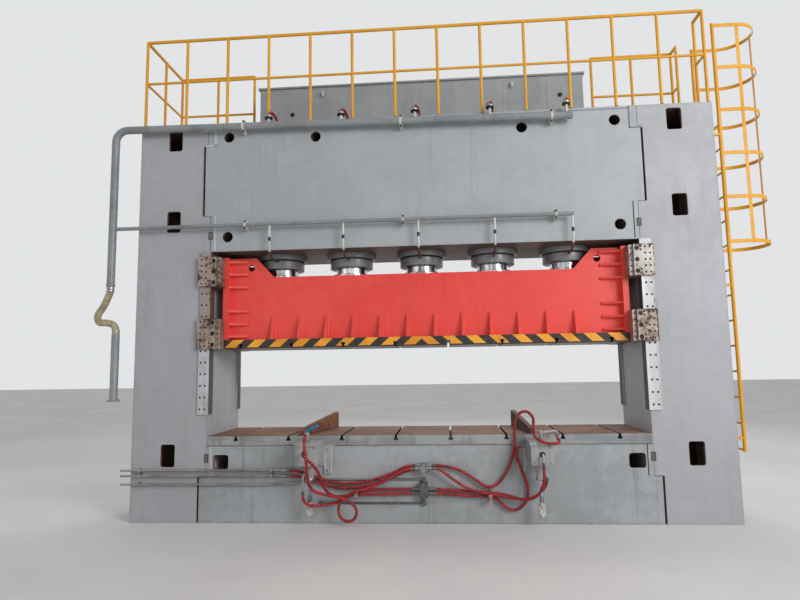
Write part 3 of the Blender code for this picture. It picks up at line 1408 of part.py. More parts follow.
HOSE_ROUTES = {
    "supply_hose_upper": (
        (-BED_PIPE_RIGHT + SEAT_GAP, BED_PIPE_Y, BED_PIPE_LEVELS[0]),
        (-BED_PIPE_RIGHT + LEAD, BED_PIPE_Y, BED_PIPE_LEVELS[0]),
        (-1.46, BED_PIPE_Y, 0.603),
        (-1.28, BED_PIPE_Y, 0.545),
        (-1.08, BED_PIPE_Y, 0.487),
        (-0.866, PORT_Y, 0.470),
        (-0.63, PORT_Y, 0.505),
        (-0.39, PORT_Y, 0.580),
        (-0.23, PORT_Y, 0.652),
        (-HOSE_START - LEAD, PORT_Y, UPPER_PORTS[0]),
        (-HOSE_START, PORT_Y, UPPER_PORTS[0]),
    ),
    "supply_hose_lower": (
        (-BED_PIPE_RIGHT + SEAT_GAP, BED_PIPE_Y, BED_PIPE_LEVELS[1]),
        (-BED_PIPE_RIGHT + LEAD, BED_PIPE_Y, BED_PIPE_LEVELS[1]),
        (-1.46, BED_PIPE_Y, 0.543),
        (-1.28, BED_PIPE_Y, 0.490),
        (-1.08, BED_PIPE_Y, 0.433),
        (-0.866, PORT_Y, 0.420),
        (-0.63, PORT_Y, 0.455),
        (-0.39, PORT_Y, 0.530),
        (-0.23, PORT_Y, 0.602),
        (-HOSE_START - LEAD, PORT_Y, UPPER_PORTS[1]),
        (-HOSE_START, PORT_Y, UPPER_PORTS[1]),
    ),
    "left_ram_hose": (
        (-1.40, RAM_Y - 0.03, 0.41 - SEAT_GAP),
        (-1.40, RAM_Y - 0.03, 0.41 - LEAD),
        (-1.385, -0.80, 0.315),
        (-1.325, -0.82, 0.270),
        (-1.23, -0.79, 0.253),
        (-1.10, -0.70, 0.250),
        (-0.96, -0.63, 0.290),
        (-0.82, PORT_Y, 0.357),
        (-0.70, PORT_Y, 0.385),
        (-0.55, PORT_Y, 0.400),
        (-0.278, PORT_Y, 0.405),
        (-HOSE_START - LEAD, PORT_Y, LOWER_PORTS[0]),
        (-HOSE_START, PORT_Y, LOWER_PORTS[0]),
    ),
    "left_box_hose": (
        (-1.345, STATION_FRONT - 0.035 - SEAT_GAP, 0.863),
        (-1.345, STATION_FRONT - 0.035 - LEAD, 0.863),
        (-1.32, -1.045, 0.840),
        (-1.26, -1.045, 0.785),
        (-1.195, -1.00, 0.700),
        (-1.165, -0.91, 0.595),
        (-1.155, -0.80, 0.480),
        (-1.115, -0.71, 0.385),
        (-1.03, -0.668, 0.335),
        (-0.92, -0.655, 0.337),
        (-0.80, -0.652, 0.354),
        (-0.70, -0.648, 0.352),
        (-0.55, -0.628, 0.350),
        (-0.28, PORT_Y, 0.354),
        (-HOSE_START - LEAD, PORT_Y, LOWER_PORTS[1]),
        (-HOSE_START, PORT_Y, LOWER_PORTS[1]),
    ),
    "left_post_hose": (
        (LEFT_MIDDLE, POST_Y - 0.075 - SEAT_GAP, POST_PORT),
        (LEFT_MIDDLE, POST_Y - 0.075 - LEAD, POST_PORT),
        (-1.32, -1.045, 1.035),
        (-1.31, -1.09, 0.96),
        (-1.295, -1.105, 0.87),
        (-1.285, -1.09, 0.76),
        (-1.295, -1.02, 0.64),
        (-1.295, -0.93, 0.52),
        (-1.25, -0.86, 0.43),
        (-1.16, -0.80, 0.385),
        (-1.04, -0.785, 0.355),
        (-0.90, -0.778, 0.320),
        (-0.80, -0.765, 0.245),
        (-0.775, -0.755, 0.160),
        (-0.82, -0.745, 0.085),
        (-0.90, -0.735, 0.070),
        (-0.97, -0.728, 0.115),
        (-0.99, -0.725, 0.205),
        (-0.95, -0.727, 0.310),
        (-0.83, -0.730, 0.385),
        (-0.65, -0.725, 0.435),
        (-0.45, -0.705, 0.515),
        (-0.25, -0.672, 0.620),
        (-HOSE_START - LEAD, OUTER_PORT_Y, OUTER_PORT),
        (-HOSE_START, OUTER_PORT_Y, OUTER_PORT),
    ),
    "right_post_hose": (
        (HOSE_START, PORT_Y, UPPER_PORTS[0]),
        (HOSE_START + LEAD, PORT_Y, UPPER_PORTS[0]),
        (0.25, PORT_Y, 0.665),
        (0.424, PORT_Y, 0.618),
        (0.594, PORT_Y, 0.516),
        (0.73, PORT_Y, 0.433),
        (0.85, PORT_Y, 0.460),
        (0.95, PORT_Y, 0.580),
        (1.02, PORT_Y, 0.720),
        (1.06, PORT_Y, 0.880),
        (1.070, PORT_Y, 1.060),
        (1.085, PORT_Y, 1.180),
        (1.14, PORT_Y, 1.270),
        (1.225, -0.615, 1.285),
        (1.285, -0.640, 1.215),
        (1.275, -0.72, 1.120),
        (1.262, -0.85, 1.045),
        (1.285, -0.955, 1.01),
        (1.36, -1.00, 0.975),
        (1.45, -1.00, 0.965),
        (1.515, -0.955, 0.970),
        (1.530, -0.890, 0.985),
        (1.515, POST_Y, 1.06 - LEAD),
        (1.515, POST_Y, 1.06 - SEAT_GAP),
    ),
    "right_box_hose": (
        (HOSE_START, OUTER_PORT_Y, OUTER_PORT),
        (HOSE_START + LEAD, OUTER_PORT_Y, OUTER_PORT),
        (0.215, OUTER_PORT_Y, 0.617),
        (0.363, -0.658, 0.510),
        (0.51, -0.655, 0.420),
        (0.704, -0.655, 0.368),
        (0.874, -0.662, 0.340),
        (1.04, -0.705, 0.318),
        (1.17, -0.79, 0.325),
        (1.27, -0.89, 0.390),
        (1.32, -0.96, 0.500),
        (1.335, -0.99, 0.620),
        (1.335, STATION_FRONT - 0.055, 0.76 - LEAD),
        (1.335, STATION_FRONT - 0.055, 0.76 - SEAT_GAP),
    ),
    "right_ram_hose": (
        (HOSE_START, PORT_Y, LOWER_PORTS[0]),
        (HOSE_START + LEAD, PORT_Y, LOWER_PORTS[0]),
        (0.30, PORT_Y, 0.395),
        (0.53, PORT_Y, 0.380),
        (0.765, PORT_Y, 0.364),
        (0.965, -0.618, 0.335),
        (1.10, -0.652, 0.303),
        (1.22, -0.665, 0.310),
        (1.32, -0.680, 0.365),
        (1.385, -0.705, 0.450),
        (1.405, RAM_Y + 0.03, 0.555 - LEAD),
        (1.405, RAM_Y + 0.03, 0.555 - SEAT_GAP),
    ),
    "right_side_hose": (
        (HOSE_START, PORT_Y, LOWER_PORTS[1]),
        (HOSE_START + LEAD, PORT_Y, LOWER_PORTS[1]),
        (0.30, PORT_Y, 0.346),
        (0.53, PORT_Y, 0.330),
        (0.765, PORT_Y, 0.320),
        (0.86, PORT_Y, 0.280),
        (0.935, PORT_Y, 0.205),
        (1.03, -0.606, 0.170),
        (1.13, -0.600, 0.205),
        (1.19, -0.597, 0.300),
        (1.20, -0.596, 0.420),
        (1.165, -0.598, 0.550),
        (1.12, -0.606, 0.670),
        (1.085, -0.625, 0.780),
        (1.09, -0.660, 0.865),
        (STATION_RIGHT[0] - 0.03 - LEAD, -0.68, 0.90),
        (STATION_RIGHT[0] - 0.03 - SEAT_GAP, -0.68, 0.90),
    ),
}


def hoses():
    """Nine hoses from the blocks to the pipes and the side stations."""
    for name, knots in HOSE_ROUTES.items():
        hose = tube(name, smooth_route(knots, HOSE_STEP), HOSE_RADIUS, 1)
        publish(hose, name, HOSE_RUBBER)


def build_press():
    """Build every piece."""
    slide_axis = guide_empty("slide_axis", (0.0, 0.0, BODY_TOP))
    bpy.context.view_layer.update()
    upright("left_upright", -1)
    upright("right_upright", 1)
    crown()
    bed()
    bolster_plate()
    hydraulics(slide_axis)
    slide(slide_axis)
    slide_platen(slide_axis)
    guides(slide_axis)
    roof_tank()
    railings()
    ladder()
    ladder_cage()
    return_header()
    drain_header()
    suction_line()
    bed_pipes()
    hose_blocks()
    station("left_station", STATION_LEFT, LEFT_FITTINGS)
    station("right_station", STATION_RIGHT, RIGHT_FITTINGS)
    station_ram("left_ram", STATION_LEFT)
    station_ram("right_ram", STATION_RIGHT)
    bar_over_table("left_bar", -LEFT_BAR_FROM_CENTRE, LEFT_BAR_TURN)
    bar_over_table("right_bar", RIGHT_BAR_FROM_CENTRE, RIGHT_BAR_TURN)
    hoses()
    for item in PARTS.objects:
        if item.type == "MESH":
            smooth_round(item)


build_press()
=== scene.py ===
"""Looks of a wide straight-side hydraulic press: its paint, steel, hoses and small fittings.

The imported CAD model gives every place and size. A piece here is either a dressed copy
of a CAD node or a surface worked out with numpy, it carries its place in its mesh, and
it rides on the CAD body that it belongs to.
"""
import logging
import math
from collections.abc import Callable, Iterable, Sequence
from dataclasses import dataclass, replace
from enum import Enum
from itertools import product

import bmesh
import bpy
import numpy as np
from mathutils import Matrix, Vector


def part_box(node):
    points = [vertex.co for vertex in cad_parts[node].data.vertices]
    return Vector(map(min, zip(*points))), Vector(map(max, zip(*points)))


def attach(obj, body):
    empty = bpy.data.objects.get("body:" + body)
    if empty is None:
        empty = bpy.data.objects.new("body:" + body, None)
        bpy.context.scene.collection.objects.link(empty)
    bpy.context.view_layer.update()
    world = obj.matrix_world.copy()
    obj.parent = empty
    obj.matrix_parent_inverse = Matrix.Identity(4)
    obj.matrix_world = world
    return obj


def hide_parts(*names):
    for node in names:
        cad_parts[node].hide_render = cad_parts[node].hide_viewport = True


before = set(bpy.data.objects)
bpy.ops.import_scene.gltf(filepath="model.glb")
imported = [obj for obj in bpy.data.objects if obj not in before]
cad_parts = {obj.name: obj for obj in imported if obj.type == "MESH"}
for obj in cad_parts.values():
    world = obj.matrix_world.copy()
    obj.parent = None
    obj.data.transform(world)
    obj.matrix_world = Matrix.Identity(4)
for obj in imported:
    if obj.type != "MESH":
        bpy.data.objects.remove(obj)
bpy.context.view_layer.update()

LOG = logging.getLogger("hydraulic_press")

Colour = tuple[float, float, float, float]
Screen = tuple[int, int, int]
Pair = tuple[float, float]
Point = tuple[float, float, float]
Span = tuple[Point, Point]

FRONT = -0.56
FRAME_TOP = 4.985
CROWN_BOTTOM = 3.313
PIPE_Y = -0.66
HOSE_Y = -0.61
SEAT = 0.0003
TURN = 2 * math.pi


class Body(Enum):
    """The CAD bodies that pieces ride on."""

    FRAME = "frame"
    SLIDE = "slide"
    LEFT_RAM = "left_ram"
    RIGHT_RAM = "right_ram"


class Axis(Enum):
    """A row axis, by its place in a point."""

    X = 0
    Y = 1


def screen(colour: Screen) -> Colour:
    """Turns a screen colour from 0 to 255 into the linear colour that a shader takes.

    Args:
        colour: Red, green and blue as a screen shows them.

    Returns:
        The linear colour with an alpha of 1.
    """
    parts = [(c / 255 / 12.92 if c < 11 else ((c / 255 + 0.055) / 1.055) ** 2.4) for c in colour]
    return (parts[0], parts[1], parts[2], 1.0)


def shade(colour: Screen, share: float) -> Screen:
    """A share of a screen colour's brightness.

    Args:
        colour: The screen colour.
        share: What is kept of it.

    Returns:
        The darker colour.
    """
    red, green, blue = (int(c * share) for c in colour)
    return (red, green, blue)


def maths(operation: str, turned_round: bool = False) -> Callable[..., "Value"]:
    """Makes a method of Value that adds one Math node.

    Args:
        operation: The node's operation.
        turned_round: Whether the other value comes first.

    Returns:
        The method, which takes the other value where the operation has two.
    """
    def method(value: "Value", *others: "Value | float") -> "Value":
        """Adds the node to the value's net and gives its result."""
        return value.net.math(operation, *((*others, value) if turned_round else (value, *others)))

    return method


class Value:
    """A number socket of a material, on which Python's arithmetic adds Math nodes."""

    def __init__(self, net: "Net", socket: bpy.types.NodeSocket) -> None:
        """Keeps the socket and the net that it is in."""
        self.net = net
        self.socket = socket

    __add__ = __radd__ = maths("ADD")
    __sub__ = maths("SUBTRACT")
    __rsub__ = maths("SUBTRACT", True)
    __mul__ = __rmul__ = maths("MULTIPLY")
    __truediv__ = maths("DIVIDE")
    __abs__ = maths("ABSOLUTE")
    least = maths("MINIMUM")
    most = maths("MAXIMUM")
    part = maths("FRACT")

    def ramp(self, start: float, end: float) -> "Value":
        """Rises smoothly from 0 at start to 1 at end, start being the lower.

        Args:
            start: Value at which the ramp leaves 0.
            end: Value at which the ramp reaches 1.

        Returns:
            The mask from 0 to 1.
        """
        item = self.net.node(
            "ShaderNodeMapRange",
            {"interpolation_type": "SMOOTHSTEP"},
            {"Value": self, "From Min": start, "From Max": end},
        )
        return Value(self.net, item.outputs[0])


class Net:
    """The node tree of one material, with the object's own coordinates at hand."""

    def __init__(self, name: str) -> None:
        """Starts an empty material of that name."""
        self.material = bpy.data.materials.new(name)
        self.material.use_nodes = True
        self.tree = self.material.node_tree
        self.tree.nodes.clear()
        found = self.node("ShaderNodeTexCoord").outputs
        self.place = found["Object"]
        self.x, self.y, self.z = self.parts(self.place)
        facing = self.parts(found["Normal"])
        self.flank, self.up = abs(facing[0]), facing[2]
        self.u, self.v, _ = self.parts(found["UV"])

    def parts(self, vector: bpy.types.NodeSocket) -> list[Value]:
        """The three coordinates of a vector socket, each as a Value."""
        item = self.node("ShaderNodeSeparateXYZ", {}, {0: vector})
        return [Value(self, socket) for socket in item.outputs]

    def node(
        self,
        kind: str,
        settings: dict[str, object] | None = None,
        inputs: dict[str | int, object] | None = None,
    ) -> bpy.types.Node:
        """Adds a node, sets its settings first, then fills or links its sockets.

        Args:
            kind: The node's type.
            settings: Attributes of the node.
            inputs: Socket name or number to a value, a socket or a Value.

        Returns:
            The node.
        """
        item = self.tree.nodes.new(kind)
        for name, value in (settings or {}).items():
            setattr(item, name, value)
        for name, value in (inputs or {}).items():
            source = value.socket if isinstance(value, Value) else value
            if isinstance(source, bpy.types.NodeSocket):
                self.tree.links.new(source, item.inputs[name])
            else:
                item.inputs[name].default_value = source
        return item

    def math(self, operation: str, *values: "Value | float") -> Value:
        """One Math node on the values.

        Args:
            operation: The Math node's operation.
            values: Numbers or Values for its sockets.

        Returns:
            The result.
        """
        item = self.node("ShaderNodeMath", {"operation": operation}, dict(enumerate(values)))
        return Value(self, item.outputs[0])

    def mix(self, share: "Value | float", low: object, high: object) -> bpy.types.NodeSocket:
        """Blends two colours.

        Args:
            share: 0 for the first colour, 1 for the second.
            low: Screen colour or socket at 0.
            high: Screen colour or socket at 1.

        Returns:
            The colour socket.
        """
        low, high = (screen(item) if isinstance(item, tuple) else item for item in (low, high))
        return self.node("ShaderNodeMix", {"data_type": "RGBA"}, {0: share, 6: low, 7: high}).outputs[2]

    def noise(
        self, scale: float, detail: float = 3.0, stretch: Point = (1.0, 1.0, 1.0), shift: float = 0.0
    ) -> Value:
        """Cloudy noise on the object's coordinates.

        Args:
            scale: Clouds per metre, about.
            detail: Number of finer layers.
            stretch: Factor on each coordinate; a small one draws the clouds out.
            shift: Moves the pattern, so that two layers differ.

        Returns:
            A Value that is mostly between 0.3 and 0.7.
        """
        moved = {0: self.place, 1: stretch, 2: (shift, 1.7 * shift, 0.6 * shift)}
        place = self.node("ShaderNodeVectorMath", {"operation": "MULTIPLY_ADD"}, moved).outputs[0]
        settings = {"Vector": place, "Scale": scale, "Detail": detail, "Roughness": 0.6}
        return Value(self, self.node("ShaderNodeTexNoise", {}, settings).outputs[0])

    def edge(self, span: Span) -> tuple[Value, Value]:
        """Distances to the edges and to the outer faces of a box.

        With the distances to the nearest of the two faces on each axis, the smallest is
        how deep a point lies under the box's faces, and the second smallest is how far
        a point on a face is from the nearest edge.

        Args:
            span: The box's lowest and highest corner.

        Returns:
            The distance to the nearest edge and the depth under the faces.
        """
        gaps = [(value - near).least(far - value) for value, near, far in zip((self.x, self.y, self.z), *span)]
        deep = gaps[0].least(gaps[1]).least(gaps[2])
        one, two, three = (abs(gap) for gap in gaps)
        return one.least(two).most(one.most(two).least(three)), deep

    def finish(self, sockets: dict[str, object], height: Value, strength: float, reach: float) -> bpy.types.Material:
        """Ends the net in a Principled shader with a bump.

        Args:
            sockets: Socket name to a value, a socket or a Value.
            height: Height of the bump from 0 to 1.
            strength: How much of the bump shows.
            reach: Height of 1 in metres.

        Returns:
            The material.
        """
        bump = self.node("ShaderNodeBump", {}, {"Strength": strength, "Distance": reach, "Height": height})
        shader = self.node("ShaderNodeBsdfPrincipled", {}, {**sockets, "Normal": bump.outputs[0]})
        self.node("ShaderNodeOutputMaterial", {}, {"Surface": shader.outputs[0]})
        return self.material


@dataclass(frozen=True)
class Finish:
    """What every finish has: a name, and a slot name, which nothing here reads."""

    name: str
    slot: str

    def material(self, span: Span | None = None) -> bpy.types.Material:
        """The material, made once for each box that it is laid on.

        Args:
            span: Box whose edges and hollows are worn, if any.

        Returns:
            The material.
        """
        key = f"dressed_{self.name}"
        if span is not None:
            key += f"_{abs(hash(span)) % 99991}"
        return bpy.data.materials.get(key) or self.lay(Net(key), span)

    def lay(self, net: Net, span: Span | None) -> bpy.types.Material:
        """Fills a net with the finish; each kind of finish has its own way.

        Args:
            net: The net to fill.
            span: Box whose edges and hollows are worn, if any.

        Returns:
            The material.
        """
        raise NotImplementedError


@dataclass(frozen=True)
class Wear:
    """What age does to paint, in shares from 0 to 1, and how fine the patterns are."""

    mottling: float
    runs: float
    dust: float
    scratches: float
    chips: float
    fineness: float = 1.0


@dataclass(frozen=True)
class Enamel(Finish):
    """Sprayed paint on steel plate, with mottling, runs, dust, scratches and worn edges.

    Hollows under the faces of the box take the inside colour, which turns pale deeper in as
    painted light, and faces that look down take a darker colour as painted shade, where one
    is given.
    """

    colour: Screen
    worn: Screen
    grime: Screen
    wear: Wear
    gloss: float
    shine: float = 0.5
    under: Screen = (104, 66, 48)
    inside: Screen | None = None
    underside_shade: Screen | None = None

    def lay(self, net: Net, span: Span | None) -> bpy.types.Material:
        """Lays mottling, runs, scratches, dust, painted shade on faces that look down, then chips and hollows with
        painted light deep inside, on the base colour.
        """
        wear = self.wear
        close = net.noise(7.0 * wear.fineness, 5.0, shift=3.1)
        patch = (net.noise(0.8 * wear.fineness, 4.0) * 0.6 + close * 0.4).ramp(0.40, 0.62)
        colour = net.mix(patch * wear.mottling, self.colour, self.worn)
        drawn = net.noise(1.0, 5.0, (15.0, 15.0, 0.5), 7.3).ramp(0.50, 0.72)
        runs = drawn * net.noise(0.9, 2.0, shift=11.7).ramp(0.42, 0.60)
        colour = net.mix(runs * wear.runs, colour, self.grime)
        lines = net.noise(1.0, 3.0, (1.6, 1.6, 85.0), 5.7).ramp(0.665, 0.70)
        lines = lines * net.noise(2.2, 2.0, shift=17.1).ramp(0.50, 0.60)
        red, green, blue = (min(255, int(c * 0.4 + 150)) for c in self.colour)
        colour = net.mix(lines * wear.scratches, colour, (red, green, blue))
        settled = net.up.ramp(0.45, 0.95) * net.noise(5.0, 4.0, shift=21.0).ramp(0.25, 0.60)
        colour = net.mix(settled * wear.dust, colour, (150, 143, 132))
        # Faces that look down darken to the given colour: painted shade.
        if self.underside_shade is not None:
            colour = net.mix((0.0 - net.up).ramp(0.6, 0.9), colour, self.underside_shade)
        spots = net.noise(70.0 * wear.fineness, 2.0, shift=2.0).ramp(0.66, 0.72)
        colour = net.mix(spots * (0.35 * wear.chips), colour, self.under)
        rough = patch * 0.10 + runs * 0.12 + settled * 0.25 + self.gloss
        skin = net.noise(160.0, 2.0, shift=1.0) * 0.25 + close * 0.5 - lines * 0.1
        if span is not None:
            edge, deep = net.edge(span)
            bite = net.noise(26.0, 5.0, shift=9.0)
            chipped = (bite - edge * 26.0).ramp(0.50, 0.54) * wear.chips
            soiled = (bite * 0.08 - edge).ramp(0.0, 0.05) * wear.chips
            colour = net.mix(soiled * 0.35, colour, self.grime)
            colour = net.mix(chipped, colour, self.under)
            rough = rough + chipped * 0.3
            skin = skin - chipped * 0.5
            if self.inside is not None:
                hollow = deep.ramp(0.008, 0.012)
                primer_and_painted_light = net.mix(close.ramp(0.4, 0.6), self.inside, (98, 70, 66))
                # Deeper than about 5 cm the primer turns pale: painted light inside the closed boxes.
                primer_and_painted_light = net.mix(deep.ramp(0.048, 0.056), primer_and_painted_light, (222, 204, 196))
                colour = net.mix(hollow, colour, primer_and_painted_light)
                rough = rough + hollow * 0.25
        sockets = {"Base Color": colour, "Roughness": rough, "Specular IOR Level": self.shine}
        return net.finish(sockets, skin, 0.16, 0.004)


@dataclass(frozen=True)
class Steel(Finish):
    """Bare steel: ground along one axis, speckled, and rusted in patches; on chrome the grain's two tones paint
    reflection bands.

    Faces that look along X take the flank colour, a painted shade, if there is one. If there is a level,
    the rust thins out below it and the metal is browned above it.
    """

    colour: Screen
    dark: Screen
    rusted: float
    rough: float
    speckle: float = 0.2
    grain_and_reflection_bands: Point = (120.0, 120.0, 2.0)
    metal: float = 1.0
    rust: Screen = (112, 66, 40)
    flank: Screen | None = None
    level: float | None = None

    def lay(self, net: Net, span: Span | None) -> bpy.types.Material:
        """Lays grain, which on chrome paints reflection bands, speckle and rust on the metal, with more rust near
        the box's edges.
        """
        grain_and_reflection_bands = net.noise(1.0, 4.0, self.grain_and_reflection_bands, 4.0)
        cloud = net.noise(3.0, 5.0, shift=8.0)
        # The grain mixes the two tones; on chrome this paints reflection bands along the rod.
        colour = net.mix((grain_and_reflection_bands * 0.5 + cloud * 0.5).ramp(0.36, 0.64), self.colour, self.dark)
        # Faces that look along X take the flank colour: painted shade.
        if self.flank is not None:
            colour = net.mix(net.flank.ramp(0.6, 0.9), colour, self.flank)
        specks = net.noise(95.0, 3.0, shift=6.0).ramp(0.58, 0.66)
        bite = net.noise(16.0, 6.0, shift=12.0)
        reach = bite * 0.55 + cloud * 0.45
        if self.level is not None:
            above = net.z.ramp(self.level - 0.1, self.level + 0.1)
            reach = reach - (1.0 - above) * 0.2
            colour = net.mix(above * 0.65, colour, self.rust)
        if span is not None:
            edge, _ = net.edge(span)
            reach = reach + (0.03 - edge).most(0.0) * 4.0
        mask = reach.ramp(0.66 - 0.26 * self.rusted, 0.74 - 0.20 * self.rusted).most(specks * self.speckle)
        colour = net.mix(mask, colour, net.mix(bite.ramp(0.4, 0.6), self.rust, (70, 46, 34)))
        sockets = {
            "Base Color": colour,
            "Metallic": (1.0 - mask * 0.85) * self.metal,
            "Roughness": mask * 0.4 + grain_and_reflection_bands * 0.12 + self.rough,
        }
        return net.finish(sockets, grain_and_reflection_bands * 0.4 + mask * 0.4 + specks * 0.2, 0.12, 0.003)


@dataclass(frozen=True)
class Corroded(Finish):
    """Mill-scaled and rusted or primed plate, in two tones with pale scuffs.

    Faces that don't look up take the side colour, if there is one, with brown runs, and faces under the box then go
    dark as painted shade.
    """

    light: Screen
    dark: Screen
    scuff: Screen
    scuffs: float
    stretch: Point = (1.0, 1.0, 1.0)
    side: Screen | None = None

    def lay(self, net: Net, span: Span | None) -> bpy.types.Material:
        """Lays two brown tones, drawn-out scuffs, pits and edges rubbed bare."""
        broad = net.noise(2.4, 6.0, self.stretch, 2.0)
        close = net.noise(19.0, 6.0, self.stretch, 5.0)
        colour = net.mix((broad * 0.5 + close * 0.5).ramp(0.40, 0.60), self.light, self.dark)
        drawn = net.noise(1.0, 4.0, (3.0, 6.0, 60.0), 9.0).ramp(0.58, 0.66)
        rubbed = drawn * net.noise(3.0, 3.0, shift=14.0).ramp(0.45, 0.58)
        colour = net.mix(rubbed * self.scuffs, colour, self.scuff)
        settled = net.up.ramp(0.4, 0.9) * close.ramp(0.35, 0.60)
        colour = net.mix(settled * 0.3, colour, (146, 116, 90))
        pits = net.noise(120.0, 2.0, shift=3.0).ramp(0.60, 0.70)
        colour = net.mix(pits * 0.5, colour, (48, 34, 28))
        if self.side is not None:
            runs = net.noise(1.0, 4.0, (7.0, 7.0, 1.0), 3.0).ramp(0.50, 0.66)
            paint = net.mix(broad.ramp(0.4, 0.6), self.side, shade(self.side, 0.88))
            paint = net.mix(runs * 0.4 + pits * 0.3, paint, (104, 98, 92))
            colour = net.mix(1.0 - net.up.ramp(0.3, 0.6), colour, paint)
        if span is not None:
            edge, deep = net.edge(span)
            bare = (close - edge * 40.0).ramp(0.46, 0.52)
            colour = net.mix(bare * 0.55, colour, self.scuff)
            # Faces more than 3 mm under the box, the slots' insides, go dark: painted shade.
            if self.side is not None:
                colour = net.mix(deep.ramp(0.003, 0.005), colour, (46, 38, 34))
        sockets = {
            "Base Color": colour,
            "Metallic": rubbed * 0.3,
            "Specular IOR Level": 0.2,
            "Roughness": close * 0.35 + 0.52,
        }
        return net.finish(sockets, close * 0.6 - pits * 0.4, 0.30, 0.004)


@dataclass(frozen=True)
class HazardEdge(Finish):
    """Red plate whose front and rear faces carry slanting yellow and black stripes."""

    stripe: float = 0.283
    slant: float = 1.09
    start: float = 2.504
    level: float = 2.088
    face: float = 0.4365

    def lay(self, net: Net, span: Span | None) -> bpy.types.Material:
        """Lays the stripes: yellow where the slanted distance has a part below a half, with painted shade along
        their foot and in the slots.
        """
        slanted = (self.start - abs(net.x) - (net.z - self.level) * self.slant) / self.stripe
        # The bottom 15 mm of the striped faces goes black: painted shade along their foot.
        foot = net.z.ramp(self.level + 0.015, self.level + 0.018)
        black = slanted.part().ramp(0.502, 0.518).most(1.0 - foot)
        wear = net.noise(34.0, 6.0, shift=4.0)
        broad = net.noise(2.0, 4.0, shift=2.0)
        yellow = net.mix(broad.ramp(0.35, 0.65), (246, 172, 44), (222, 140, 30))
        ink = net.mix(wear.ramp(0.4, 0.7), (34, 31, 30), (62, 54, 48))
        red = net.mix(broad.ramp(0.35, 0.65), (200, 36, 26), (164, 30, 24))
        colour = net.mix(abs(net.y).ramp(self.face - 0.001, self.face), red, net.mix(black, yellow, ink))
        bare = net.mix(wear.ramp(0.42, 0.58), (96, 84, 76), (66, 52, 46))
        colour = net.mix((0.0 - net.up).ramp(0.6, 0.9), colour, bare)
        chipped = wear.ramp(0.66, 0.69) * 0.5
        if span is not None:
            edge, deep = net.edge(span)
            chipped = chipped.most((wear - edge * 16.0).ramp(0.52, 0.56) * 0.9)
            # Faces more than 2 mm under the box, the slots' insides, go dark: painted shade.
            colour = net.mix(deep.ramp(0.002, 0.004), colour, (40, 34, 32))
        colour = net.mix(chipped, colour, (120, 84, 60))
        sockets = {"Base Color": colour, "Roughness": wear * 0.2 + chipped * 0.25 + 0.26}
        return net.finish(sockets, wear * 0.5 - chipped * 0.6, 0.14, 0.003)


@dataclass(frozen=True)
class Winding(Finish):
    """A hose's flat band, wound in a spiral over its rubber, with pale specks painted as highlights."""

    colour: Screen
    gap: Screen
    glint_colour: Screen = (196, 150, 140)
    glint_share: float = 0.5
    rough: float = 0.5

    def lay(self, net: Net, span: Span | None) -> bpy.types.Material:
        """Lays band and gap by the part of turns along plus turns round."""
        seam_mask = (abs((net.u + net.v).part() - 0.5) * 2.0).ramp(0.46, 0.70)
        cloud = net.noise(14.0, 4.0, shift=3.0)
        band = net.mix(cloud.ramp(0.38, 0.64), self.colour, shade(self.colour, 0.72))
        # Pale specks on the band: painted highlights.
        glint = net.noise(150.0, 3.0, shift=8.0).ramp(0.60, 0.68) * cloud.ramp(0.40, 0.60)
        band = net.mix(glint * self.glint_share, band, self.glint_colour)
        colour = net.mix(seam_mask, band, self.gap)
        sockets = {"Base Color": colour, "Roughness": seam_mask * 0.2 + glint * 0.2 + self.rough}
        return net.finish(sockets, 1.0 - seam_mask, 0.35, 0.002)


@dataclass
class Shape:
    """Points with the faces between them, before they become a mesh."""

    points: np.ndarray
    faces: list[np.ndarray]
    uv: np.ndarray | None = None

    def at(self, places: Sequence[Point] | np.ndarray) -> "Shape":
        """Repeats the shape at each place.

        Args:
            places: One row for each copy, the offset of the copy.

        Returns:
            All the copies as one shape.
        """
        places = np.atleast_2d(np.asarray(places, float))
        points = (places[:, None, :] + self.points[None]).reshape(-1, 3)
        steps = np.arange(len(places)) * len(self.points)
        faces = [(f[None] + steps[:, None, None]).reshape(-1, f.shape[1]) for f in self.faces]
        return Shape(points, faces, None if self.uv is None else np.tile(self.uv, (len(places), 1)))

    def facing(self, axis: Axis, sign: float = 1.0) -> "Shape":
        """Turns a shape that stands on Z so that its top looks along X or Y.

        Args:
            axis: The axis to look along.
            sign: 1 for the positive way, -1 for the negative way.

        Returns:
            The turned shape, still right-handed.
        """
        x, y, z = self.points.T
        rows = (sign * z, y, -sign * x) if axis is Axis.X else (x, sign * z, -sign * y)
        return Shape(np.stack(rows, 1), self.faces, self.uv)

    @staticmethod
    def together(shapes: "Iterable[Shape]") -> "Shape":
        """Puts shapes side by side into one.

        Args:
            shapes: The shapes, either all with UVs or the UVs are dropped.

        Returns:
            One shape with every face.
        """
        shapes = list(shapes)
        steps = np.cumsum([0] + [len(s.points) for s in shapes[:-1]])
        faces = [f + step for s, step in zip(shapes, steps) for f in s.faces]
        uv = np.concatenate([s.uv for s in shapes]) if all(s.uv is not None for s in shapes) else None
        return Shape(np.concatenate([s.points for s in shapes]), faces, uv)


def angles(count: int) -> np.ndarray:
    """Even angles round a full turn, the first at 0."""
    return np.arange(count) / count * TURN


def ring_of(count: int, radius: float, centre: Point, phase: float = 0.0) -> np.ndarray:
    """Places evenly round a level circle: (x + r cos a, y + r sin a, z).

    Args:
        count: Number of places.
        radius: Radius of the circle.
        centre: Its centre.
        phase: Angle of the first place.

    Returns:
        One row for each place.
    """
    turn = angles(count) + phase
    return np.array(centre) + radius * np.stack([np.cos(turn), np.sin(turn), 0 * turn], 1)


